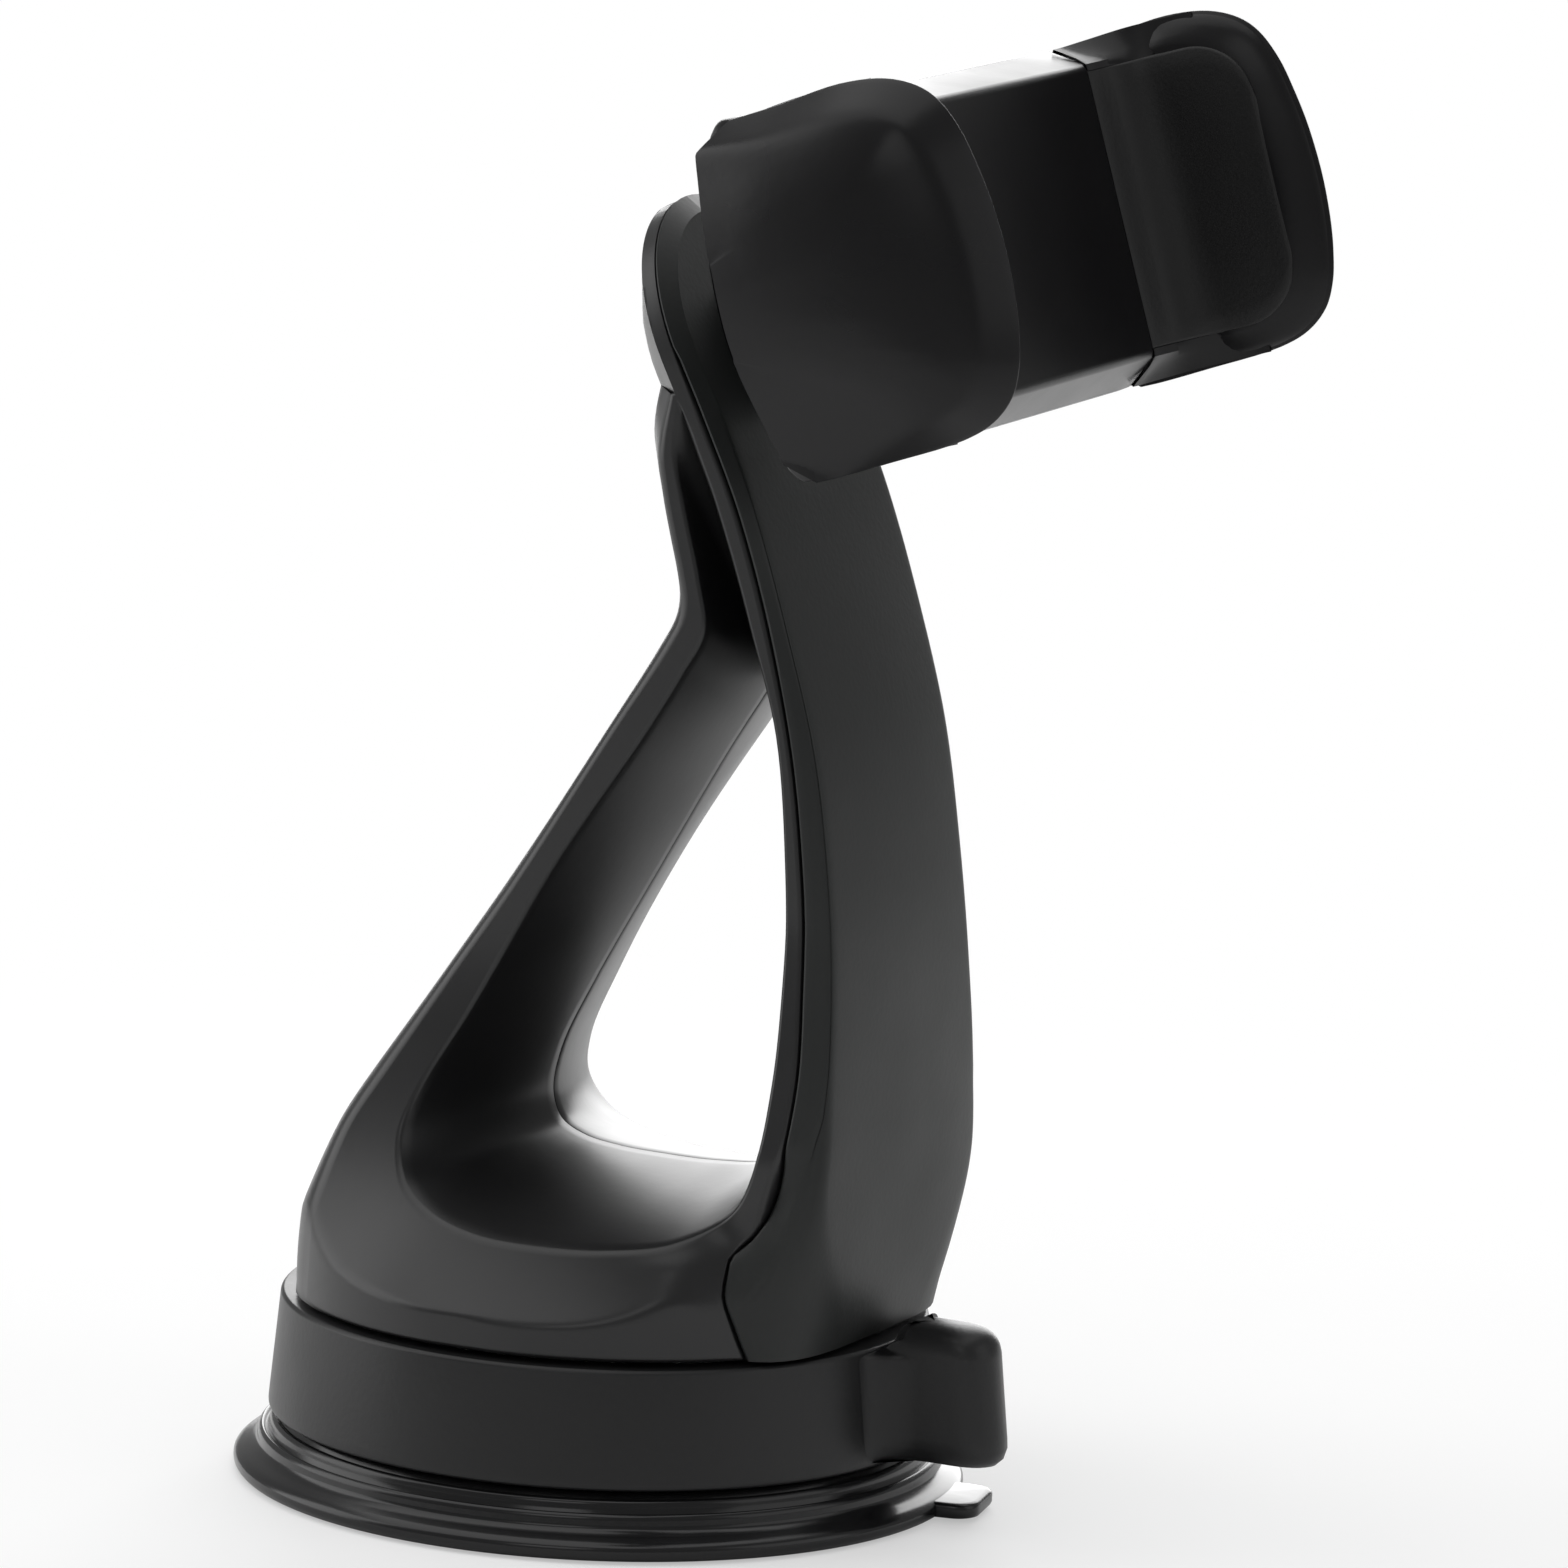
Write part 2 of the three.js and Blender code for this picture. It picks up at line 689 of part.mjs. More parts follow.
function armShells() {
  const body = armBody();
  let shell = body.subtract(armCavity());
  for (const [y, z] of cross_screws) {
    shell = shell.add(solidOf(along_x(rod(boss_radius, -30, 30, 12), y, z)).intersect(body));
  }
  for (const [x, y] of base_screws) {
    const inside = solidOf(rod(boss_radius, arm_bottom - 1, 40, 12).translate(x, y, 0)).intersect(body);
    const foot = solidOf(rod(boss_radius, housing_plate_top, arm_bottom + 1, 12).translate(x, y, 0));
    shell = shell.add(inside).add(foot);
  }
  for (const [y, z] of cross_screws) {
    const pilot = rod(screw_hole_radius, -cross_length + cross_seat - 1, cross_seat + 1, 8);
    const recess = rod(screw_head_radius + 0.4, cross_seat, 45, 12);
    shell = shell.subtract(solidOf(along_x(pilot, y, z))).subtract(solidOf(along_x(recess, y, z)));
  }
  for (const [x, y] of base_screws) {
    const pilot = rod(screw_hole_radius, housing_plate_top - 1, housing_plate_bottom + base_screw_length + 1, 8);
    shell = shell.subtract(solidOf(pilot.translate(x, y, 0)));
  }
  const slot = rod(nut_radius + turning_gap, -1.2 - nut_thickness - 0.2, -1.2, 6);
  const shank = rod(shank_radius + turning_gap, -paddle_depth + 0.8, 1, 16);
  shell = shell.subtract(solidOf(onPaddle(slot))).subtract(solidOf(onPaddle(shank)));
  const left = shell.intersect(solidOf(block(-60, 0, -60, 60, 0, 160)));
  const right = shell.intersect(solidOf(block(0, 60, -60, 60, 0, 160)));
  return [left, right];
}

function frontCover() {
  const list = [...heights(120), 124].map((z) => {
    const back = along(seam_line, z) - seam_gap;
    const front = along(cover_line, z);
    const outer = seamHalfWidth(z);
    const face = Math.min(outer - cover_edge_facet, 18.4);
    const bulge = 0.6 * clamp01((118 - z) / 20);
    const half = [[outer, back], [face, front], [face * 0.5, front - bulge * 0.75]];
    const mirrored = half.map(([x, y]) => [-x, y]).reverse();
    return [[0, back], ...half, [0, front - bulge], ...mirrored].map(([x, y]) => new THREE.Vector3(x, y, z));
  });
  const strip = solidOf(loft(list));
  const back = -seam_gap;
  const end = solidOf(paddle([[back, 0], [-cover_paddle_thickness, cover_edge_facet]]));
  const hole = solidOf(onPaddle(rod(shank_radius + turning_gap, -1, 4, 16)));
  return geometryOf(strip.add(end).subtract(hole));
}

// ---------------------------------------------------------------- ball joint

function arc(radius, from, to, count) {
  return steps(from, to, count).map((a) => [radius * Math.sin(a * DEG), radius * Math.cos(a * DEG)]);
}

// The ball's centre is at z = 0 and the stud runs down to the arm.
function ballStud() {
  const face = -(ball_distance - cover_paddle_thickness - turning_gap);
  const end = 180 - Math.asin(neck_radius / ball_radius) / DEG;
  const profile = [
    ...arc(ball_radius, 0, end, 9),
    [neck_radius, face + stud_flange_thickness],
    [stud_flange_radius, face + stud_flange_thickness],
    [stud_flange_radius, face],
    [shank_radius, face],
    [shank_radius, -ball_distance - paddle_depth + 1.4],
    [0, -ball_distance - paddle_depth + 1.4],
  ];
  return onPaddle(new THREE.LatheGeometry(vectors(profile), 20).rotateX(Math.PI / 2).translate(0, 0, ball_distance));
}

function studNut() {
  const low = -1.2 - nut_thickness;
  const nut = solidOf(rod(nut_radius, low, -1.2, 6)).subtract(solidOf(rod(shank_radius + 0.3, low - 1, 0, 16)));
  return onPaddle(geometryOf(nut));
}

// Spherical shell about the ball's centre, between two angles from the phone side.
function ballShell(from, to) {
  const inner = ball_radius + liner_gap;
  const outer = inner + liner_thickness;
  const profile = [...arc(inner, from, to, 4), ...arc(outer, to, from, 4)];
  return inSocket(turned(profile, 20));
}

// Turn a shape drawn about the ball's centre, z toward the phone, into the holder's frame.
function inSocket(geometry) {
  return geometry.rotateX(Math.PI / 2).translate(0, ball_y, ball_z);
}

function socketBowl() {
  return arc(socket_radius, 0, 180 - socket_opening_angle, 8);
}

function socket() {
  const open = 180 - socket_opening_angle;
  const rim = socket_radius * Math.cos(open * DEG);
  const mouth = socket_radius * Math.sin(open * DEG);
  const profile = [
    ...socketBowl(),
    [mouth + 0.8, rim - 0.5],
    [socket_outer_radius, rim - 0.5],
    [socket_outer_radius, ball_y - plate_back],
    [socket_outer_radius + 2, ball_y - plate_back - 0.1],
    [socket_outer_radius + 2, ball_y - plate_back + 0.5],
    [socket_outer_radius - 4, ball_y - plate_back + plate_wall - 0.05],
    [0, socket_radius + 1.2],
  ];
  return solidOf(inSocket(new THREE.LatheGeometry(vectors(profile), 28).rotateX(Math.PI / 2)));
}

function lockingNut() {
  const start = ball_y - plate_back - 2.4;
  const count = locking_nut_ribs * 4;
  const ring = (z, grow) => steps(0, 360, count).slice(0, count).map((a, i) => {
    const r = locking_nut_radius + grow - (i % 4 < 2 ? 0 : 0.7);
    return new THREE.Vector3(r * Math.cos(a * DEG), r * Math.sin(a * DEG), z);
  });
  const outer = loft([
    ring(start - locking_nut_length, -0.8),
    ring(start - locking_nut_length + 0.8, 0),
    ring(start - 0.8, 0),
    ring(start, -0.8),
  ]);
  const bore = rod(socket_outer_radius + turning_gap, -20, 20, 32);
  return inSocket(geometryOf(solidOf(outer).subtract(solidOf(bore))));
}

// ---------------------------------------------------------------- phone holder

const holder_screws = [[-30, 22.8], [-8, 22.8], [30, -3.3], [8, -3.3]];
const spring_posts = [8, 33];
const spring_lift = 12.6;
const holder_boss = 2.5;

function holderFront() {
  const skin = [
    [plate_seam, plate_low_edge],
    [plate_front + 0.6, plate_bottom_z - 0.3],
    [plate_front, plate_bottom_z + 0.6],
    [plate_front, plate_top_z - 0.6],
    [plate_front + 0.6, plate_top_z + 0.3],
    [plate_seam, plate_high_edge],
    [plate_seam, plate_high_edge - plate_wall],
    [plate_front + plate_wall, plate_top_z - 1.6],
    [plate_front + plate_wall, plate_bottom_z + 1.6],
    [plate_seam, plate_low_edge + plate_wall],
  ];
  let solid = solidOf(prism(skin, 'x', -housing_half_width, housing_half_width));
  const seat = jaw_pad_x - jaw_foot_reach - sliding_gap;
  for (const [x0, x1] of [[-housing_half_width - 1, -seat], [seat, housing_half_width + 1]]) {
    const step = block(x0, x1, plate_front - 1, plate_front + foot_seat_depth, -20, 40);
    solid = solid.subtract(solidOf(step));
  }
  for (const [x, z] of holder_screws) {
    const boss = rod(holder_boss, 0, plate_back - plate_wall - plate_front - 1, 14);
    const hole = rod(screw_hole_radius, 1.6, 20, 12);
    const place = (g) => g.rotateX(-Math.PI / 2).translate(x, plate_front + 1, z);
    solid = solid.add(solidOf(place(boss))).subtract(solidOf(place(hole)));
  }
  return geometryOf(solid);
}

function holderBack() {
  const seam = plate_seam + 0.1;
  const inner = plate_back - plate_wall;
  const skin = [
    [seam, plate_low_edge],
    [plate_back - 1.5, plate_low_edge - 0.3],
    [plate_back, plate_low_edge + 1.5],
    [plate_back, plate_high_edge - 1.5],
    [plate_back - 1.5, plate_high_edge + 0.2],
    [seam, plate_high_edge],
    [seam, plate_high_edge - plate_wall],
    [inner, plate_high_edge - plate_wall],
    [inner, plate_low_edge + plate_wall],
    [seam, plate_low_edge + plate_wall],
  ];
  const cup = [...socketBowl(), [0, -3]];
  const bowl = solidOf(inSocket(new THREE.LatheGeometry(vectors(cup), 28).rotateX(Math.PI / 2)));
  let solid = solidOf(prism(skin, 'x', -housing_half_width, housing_half_width)).subtract(bowl).add(socket());
  const pin = rod(pinion_pin_radius, plate_front + plate_wall + 0.3, inner + 0.5, 14);
  solid = solid.add(solidOf(pin.rotateX(-Math.PI / 2).translate(0, 0, pinion_z)));
  for (const side of [1, -1]) {
    const post = rod(0.9, 0, 4.5, 10).rotateX(Math.PI / 2);
    solid = solid.add(solidOf(post.translate(side * spring_posts[0], inner + 0.5, pinion_z + side * spring_lift)));
  }
  for (const [x, z] of holder_screws) {
    const hole = rod(screw_hole_radius, 0, 30, 12).rotateX(-Math.PI / 2).translate(x, inner - 1, z);
    solid = solid.subtract(solidOf(hole));
    const recess = rod(screw_head_radius + 0.4, 0, 5, 16).rotateX(-Math.PI / 2);
    solid = solid.subtract(solidOf(recess.translate(x, plate_back - 0.6, z)));
  }
  return geometryOf(solid);
}

// Outline of the jaw for x > 0, drawn inward by inset: flush with the housing at the back, taller
// and slightly bowed at the front.
function jawRing(x, inset) {
  const radii = [8.5, 1.2, 1.2, 11.5].map((r) => Math.max(r - inset, 0.6));
  const middle = (jaw_low + jaw_high) / 2;
  const half = (jaw_high - jaw_low) / 2;
  return roundedBox(jaw_front + inset, jaw_back - inset * 0.2, jaw_low + inset, jaw_high - inset, radii)
    .map(([y, z]) => {
      const bow = 1.6 * ((z - middle) / half) ** 2 * clamp01((12 - y) / 12);
      const drop = z > middle ? (jaw_high - plate_high_edge) * clamp01((y - 15) / 15) ** 1.4 : 0;
      return new THREE.Vector3(x, y + bow, z - drop);
    });
}

function jawBlank() {
  return loft([
    jawRing(jaw_inner_x, 4),
    jawRing(jaw_inner_x + 1.8, 0.4),
    jawRing(jaw_inner_x + 2.6, 0),
    jawRing(jaw_outer_x - 3, 0.9),
    jawRing(jaw_outer_x - 1, 3.4),
    jawRing(jaw_outer_x, 8),
  ]);
}

// Jaw for x > 0 with the pocket for its rack.
function jaw(tongue) {
  const seat = prism(jawPadOutline(turning_gap), 'x', jaw_inner_x - 3, jaw_inner_x + jaw_pad_pocket);
  return geometryOf(solidOf(jawBlank()).subtract(solidOf(seat)).subtract(solidOf(tongue)));
}

function jawPadOutline(grow) {
  return roundedBox(jaw_pad_front - grow, jaw_pad_back + grow, jaw_pad_low - grow, jaw_pad_high + grow,
    [7, 2, 2, 7]);
}

function jawPad() {
  const rings = [[0, jaw_inner_x + jaw_pad_pocket], [0, jaw_pad_x + 0.4], [-0.5, jaw_pad_x]];
  const pad = loft(rings.map(([grow, x]) => jawPadOutline(grow).map(([y, z]) => new THREE.Vector3(x, y, z))));
  const toe = jaw_pad_x - jaw_foot_reach;
  const foot = [
    [toe, plate_front - 0.3],
    [toe + 0.3, plate_front - 1.1],
    [toe + 2.6, plate_front - 1.5],
    [jaw_pad_x - 0.9, plate_front - 2.6],
    [jaw_pad_x, plate_front - 5],
    [jaw_inner_x, plate_front - 5],
    [jaw_inner_x, plate_front - 0.3],
  ];
  return geometryOf(solidOf(pad).add(solidOf(prism(foot, 'z', jaw_pad_low + 0.4, jaw_pad_high - 0.4))));
}

// Tongue of the rack that sits in the jaw.
function rackTongue(grow) {
  const low = pinion_z + gear_module * pinion_teeth / 2 + gear_module;
  return block(jaw_inner_x - 1, jaw_inner_x + 3 + (grow > 0 ? 0.1 : 0),
    rack_front - grow, rack_back + grow, low - grow, low + rack_height + grow);
}

// Rack above the pinion, teeth down, for the jaw at x > 0.
function rack() {
  const pitch = Math.PI * gear_module;
  const line = pinion_z + (gear_module * pinion_teeth) / 2;
  const low = line + gear_module;
  const outline = [[rack_inner_end, low], [rack_inner_end, low + rack_height]];
  outline.push([jaw_inner_x + 3, low + rack_height], [jaw_inner_x + 3, low]);
  for (let i = 5; i >= -4; i -= 1) {
    const x = i * pitch;
    if (x - 1.2 < rack_inner_end) continue;
    outline.push([x + 0.95, low], [x + 0.3, line - 0.55], [x - 0.3, line - 0.55], [x - 0.95, low]);
  }
  let solid = solidOf(prism(outline, 'y', rack_front, rack_back));
  const post_z = pinion_z + spring_lift;
  const lug = block(spring_posts[1] - 1.4, spring_posts[1] + 1.4, rack_front, rack_front + 1.2,
    low + 1, post_z + 1);
  const post = rod(0.9, 0, 3, 10).rotateX(-Math.PI / 2).translate(spring_posts[1], rack_front + 1, post_z);
  solid = solid.add(solidOf(lug)).add(solidOf(post));
  return geometryOf(solid);
}

// The piece at x < 0 is the same piece turned half a turn about the pinion's axis.
function halfTurn(geometry) {
  return geometry.translate(0, 0, -pinion_z).rotateY(Math.PI).translate(0, 0, pinion_z);
}

function pinion() {
  const points = [];
  const pitch_radius = (gear_module * pinion_teeth) / 2;
  for (let i = 0; i < pinion_teeth; i += 1) {
    const a = ((i + 0.5) * 360) / pinion_teeth - 90;
    for (const [r, da] of [[3.9, -11.5], [pitch_radius + 0.55, -3.6], [pitch_radius + 0.55, 3.6], [3.9, 11.5]]) {
      points.push([r * Math.cos((a + da) * DEG), r * Math.sin((a + da) * DEG)]);
    }
  }
  const gear = solidOf(prism(points, 'z', rack_front + 0.1, rack_back - 0.1));
  const bored = gear.subtract(solidOf(rod(pinion_pin_radius + turning_gap, 0, 50, 14)));
  return geometryOf(bored).rotateX(Math.PI / 2).translate(0, 2 * rack_front + 4, pinion_z);
}

function jawSpring() {
  const length = spring_posts[1] - spring_posts[0] - 2 * (0.9 + 0.4 + spring_wire);
  const body = coil(spring_radius, spring_wire, 8, length, 4, 6).rotateY(Math.PI / 2);
  return body.translate(spring_posts[0] + 1.3 + spring_wire, 25, pinion_z + spring_lift);
}

// ---------------------------------------------------------------- assembly

function buildBase() {
  add('gel_pad', gelPad(), gel());
  add('suction_cup', suctionCup(), cupRubber());
  add('plunger', plunger(), innerPlastic());
  add('release_spring', releaseSpring(), steel());
  add('base_housing', baseHousing(base_screws), innerPlastic());
  add('lock_ring', lockRing(), satinRing());
  base_screws.forEach(([x, y], i) => {
    add(`base_screw_${i + 1}`, screw(base_screw_length).translate(x, y, housing_plate_bottom), steel());
  });
}

function buildArm() {
  const [left, right] = armShells();
  add('arm_left_shell', geometryOf(left), glossyBody());
  add('arm_right_shell', geometryOf(right), glossyBody());
  add('front_cover', frontCover(), satinCover());
  cross_screws.forEach(([y, z], i) => {
    const part = screw(cross_length).rotateY(-Math.PI / 2).translate(cross_seat, y, z);
    add(`arm_screw_${i + 1}`, part, steel());
  });
  add('ball_stud', ballStud(), glossyBody());
  add('stud_nut', studNut(), steel());
}

function buildHolder() {
  const holder = new THREE.Group();
  const tilt = new THREE.Euler(-holder_tilt * DEG, -holder_spin * DEG, 0);
  const normal = new THREE.Vector3(0, -Math.cos(paddle_tilt * DEG), Math.sin(paddle_tilt * DEG));
  const centre = new THREE.Vector3(0, along(seam_line, paddle_centre_z), paddle_centre_z)
    .addScaledVector(normal, ball_distance);
  const offset = new THREE.Vector3(0, ball_y, ball_z).applyEuler(tilt);
  holder.rotation.copy(tilt);
  holder.position.copy(centre.sub(offset));
  phoneMount.add(holder);
  add('friction_cap', ballShell(8, cap_edge_angle), innerPlastic(), holder);
  add('liner_ring', ballShell(ring_edge_angle, 112), innerPlastic(), holder);
  add('locking_nut', lockingNut(), glossyBody(), holder);
  add('holder_back', holderBack(), glossyBody(), holder);
  add('holder_front', holderFront(), glossyBody(), holder);
  holder_screws.forEach(([x, z], i) => {
    const part = screw(6).rotateX(Math.PI / 2).translate(x, plate_back - 0.6, z);
    add(`holder_screw_${i + 1}`, part, steel(), holder);
  });
  add('pinion', pinion(), innerPlastic(), holder);
  add('right_rack', rack(), innerPlastic(), holder);
  add('left_rack', halfTurn(rack()), innerPlastic(), holder);
  add('right_spring', jawSpring(), steel(), holder);
  add('left_spring', halfTurn(jawSpring()), steel(), holder);
  add('right_jaw', jaw(rackTongue(turning_gap)), glossyBody(), holder);
  add('right_jaw_pad', jawPad(), padRubber(), holder);
  add('left_jaw', mirrorX(jaw(mirrorX(halfTurn(rackTongue(turning_gap))))), glossyBody(), holder);
  add('left_jaw_pad', mirrorX(jawPad()), padRubber(), holder);
}

function mirrorX(geometry) {
  return closedGeometry(geometry.clone().scale(-1, 1, 1));
}

buildBase();
buildArm();
buildHolder();

export default phoneMount;
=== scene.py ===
import json
import math

import bmesh
import bpy
import numpy as np
from mathutils import Matrix, Vector


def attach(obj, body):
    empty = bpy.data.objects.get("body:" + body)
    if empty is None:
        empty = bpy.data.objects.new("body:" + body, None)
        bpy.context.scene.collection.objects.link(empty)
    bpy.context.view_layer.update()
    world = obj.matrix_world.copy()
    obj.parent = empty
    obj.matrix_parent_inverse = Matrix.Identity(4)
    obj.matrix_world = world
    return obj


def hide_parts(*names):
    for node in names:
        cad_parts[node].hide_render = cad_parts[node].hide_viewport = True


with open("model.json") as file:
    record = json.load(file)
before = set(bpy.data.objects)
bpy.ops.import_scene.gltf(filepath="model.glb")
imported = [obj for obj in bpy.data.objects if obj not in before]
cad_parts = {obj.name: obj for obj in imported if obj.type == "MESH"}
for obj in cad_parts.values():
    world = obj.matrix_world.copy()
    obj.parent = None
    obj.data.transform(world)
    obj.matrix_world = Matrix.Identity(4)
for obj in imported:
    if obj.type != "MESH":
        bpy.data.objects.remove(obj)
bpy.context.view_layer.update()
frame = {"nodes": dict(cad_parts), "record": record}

MM = 0.001
IDENTITY = Matrix.Identity(4)


# ------------------------------------------------------------------ numbers

def clamp01(v):
    return min(max(v, 0.0), 1.0)


def smooth01(v):
    v = clamp01(v)
    return v * v * (3 - 2 * v)


def mix(a, b, t):
    return a + (b - a) * t


def smooth_min(a, b, k):
    h = clamp01(0.5 + 0.5 * (b - a) / k)
    return mix(b, a, h) - k * h * (1 - h)


def along(knots, z):
    """Value at z of a smooth curve through (z, value) knots, held level beyond both ends."""
    last = len(knots) - 1
    if z <= knots[0][0]:
        return knots[0][1]
    if z >= knots[last][0]:
        return knots[last][1]
    k = 0
    while z > knots[k + 1][0]:
        k += 1

    def slope(i):
        a = knots[max(i - 1, 0)]
        b = knots[min(i + 1, last)]
        return (b[1] - a[1]) / (b[0] - a[0])

    span = knots[k + 1][0] - knots[k][0]
    t = (z - knots[k][0]) / span
    h1 = 2 * t**3 - 3 * t**2 + 1
    h2 = t**3 - 2 * t**2 + t
    h3 = -2 * t**3 + 3 * t**2
    h4 = t**3 - t**2
    return h1 * knots[k][1] + h2 * span * slope(k) + h3 * knots[k + 1][1] + h4 * span * slope(k + 1)


def spline(points, per):
    """Centripetal Catmull-Rom curve through open points, per samples to each span."""
    p = [np.array(q, float) for q in points]
    p = [2 * p[0] - p[1]] + p + [2 * p[-1] - p[-2]]
    out = []
    for i in range(1, len(p) - 2):
        p0, p1, p2, p3 = p[i - 1 : i + 3]
        t0 = 0.0
        t1 = t0 + max(np.linalg.norm(p1 - p0), 1e-4) ** 0.5
        t2 = t1 + max(np.linalg.norm(p2 - p1), 1e-4) ** 0.5
        t3 = t2 + max(np.linalg.norm(p3 - p2), 1e-4) ** 0.5
        for j in range(per):
            t = mix(t1, t2, j / per)
            a1 = (t1 - t) / (t1 - t0) * p0 + (t - t0) / (t1 - t0) * p1
            a2 = (t2 - t) / (t2 - t1) * p1 + (t - t1) / (t2 - t1) * p2
            a3 = (t3 - t) / (t3 - t2) * p2 + (t - t2) / (t3 - t2) * p3
            b1 = (t2 - t) / (t2 - t0) * a1 + (t - t0) / (t2 - t0) * a2
            b2 = (t3 - t) / (t3 - t1) * a2 + (t - t1) / (t3 - t1) * a3
            out.append((t2 - t) / (t2 - t1) * b1 + (t - t1) / (t2 - t1) * b2)
    out.append(p[-2])
    return out


# ------------------------------------------------------------------ meshes

def new_object(name, verts, faces, place=IDENTITY, sharp=None, merge=0.002):
    """Mesh object from millimetre points, in the row frame."""
    bm = bmesh.new()
    made = [bm.verts.new(v) for v in verts]
    for face in faces:
        loop = []
        for i in face:
            if made[i] not in loop:
                loop.append(made[i])
        if len(loop) > 2:
            bm.faces.new(loop)
    bmesh.ops.remove_doubles(bm, verts=bm.verts, dist=merge)
    bmesh.ops.recalc_face_normals(bm, faces=bm.faces)
    bm.transform(Matrix.Scale(MM, 4) @ place)
    for face in bm.faces:
        face.smooth = True
    mesh = bpy.data.meshes.new(name)
    bm.to_mesh(mesh)
    bm.free()
    obj = bpy.data.objects.new(name, mesh)
    bpy.context.scene.collection.objects.link(obj)
    if sharp is not None:
        mesh.set_sharp_from_angle(angle=math.radians(sharp))
    return obj


def skin(name, rings, place=IDENTITY, wrap=False, caps=True, sharp=None):
    """Closed rings of equal length joined in order, with the two ends capped or joined to each other."""
    count = len(rings[0])
    verts = [tuple(p) for ring in rings for p in ring]
    faces = []
    rows = len(rings)
    for r in range(rows if wrap else rows - 1):
        low = r * count
        high = ((r + 1) % rows) * count
        for i in range(count):
            j = (i + 1) % count
            faces.append((low + i, low + j, high + j, high + i))
    if caps and not wrap:
        for r in (0, rows - 1):
            middle = np.mean(np.array(rings[r], float), axis=0)
            verts.append(tuple(middle))
            m = len(verts) - 1
            faces += [(m, r * count + i, r * count + (i + 1) % count) for i in range(count)]
    return new_object(name, verts, faces, place, sharp)


def rounded(points, radius, steps=4):
    """Polygon with every corner given a small round; points may carry their own radius as a third value."""
    out = []
    n = len(points)
    for i in range(n):
        p = np.array(points[i][:2], float)
        a = np.array(points[i - 1][:2], float) - p
        b = np.array(points[(i + 1) % n][:2], float) - p
        r = points[i][2] if len(points[i]) > 2 else radius
        la, lb = np.linalg.norm(a), np.linalg.norm(b)
        cut = min(r, la * 0.45, lb * 0.45)
        if cut < 0.01:
            out.append(tuple(p))
            continue
        p0, p1 = p + a / la * cut, p + b / lb * cut
        for k in range(steps + 1):
            t = k / steps
            out.append(tuple((1 - t) ** 2 * p0 + 2 * t * (1 - t) * p + t * t * p1))
    return out


def lathe(name, profile, place=IDENTITY, segments=96, radius=0.25, steps=3, sharp=35, wave=None):
    """Closed (radius, height) outline turned about +Z, its corners rounded."""
    outline = rounded(profile, radius, steps)
    rings = []
    for k in range(segments):
        a = 2 * math.pi * k / segments
        ring = []
        for r, z in outline:
            rr = wave(r, z, a) if wave else r
            ring.append((rr * math.cos(a), rr * math.sin(a), z))
        rings.append(ring)
    return skin(name, rings, place, wrap=True, sharp=sharp)


def rounded_box(u0, u1, v0, v1, radii, steps):
    """Rectangle outline with its own radius at each corner."""
    corners = [
        (u0 + radii[0], v0 + radii[0], radii[0], 180),
        (u1 - radii[1], v0 + radii[1], radii[1], 270),
        (u1 - radii[2], v1 - radii[2], radii[2], 0),
        (u0 + radii[3], v1 - radii[3], radii[3], 90),
    ]
    points = []
    for cu, cv, r, start in corners:
        for i in range(steps + 1):
            a = math.radians(start + 90 * i / steps)
            points.append((cu + r * math.cos(a), cv + r * math.sin(a)))
    return points


def densify(points, spacing):
    """Closed outline with extra points on its long sides."""
    out = []
    for i, p in enumerate(points):
        q = points[(i + 1) % len(points)]
        length = math.dist(p, q)
        n = max(1, round(length / spacing))
        out += [tuple(mix(np.array(p), np.array(q), k / n)) for k in range(n)]
    return out


# ------------------------------------------------------------------ materials

DRIFT_SCALE = 45.0
ROUGHNESS_SWING = 0.05
TONE_SWING = 0.12
COAT_ROUGHNESS = 0.08
RELIEF_HEIGHT = 0.0004


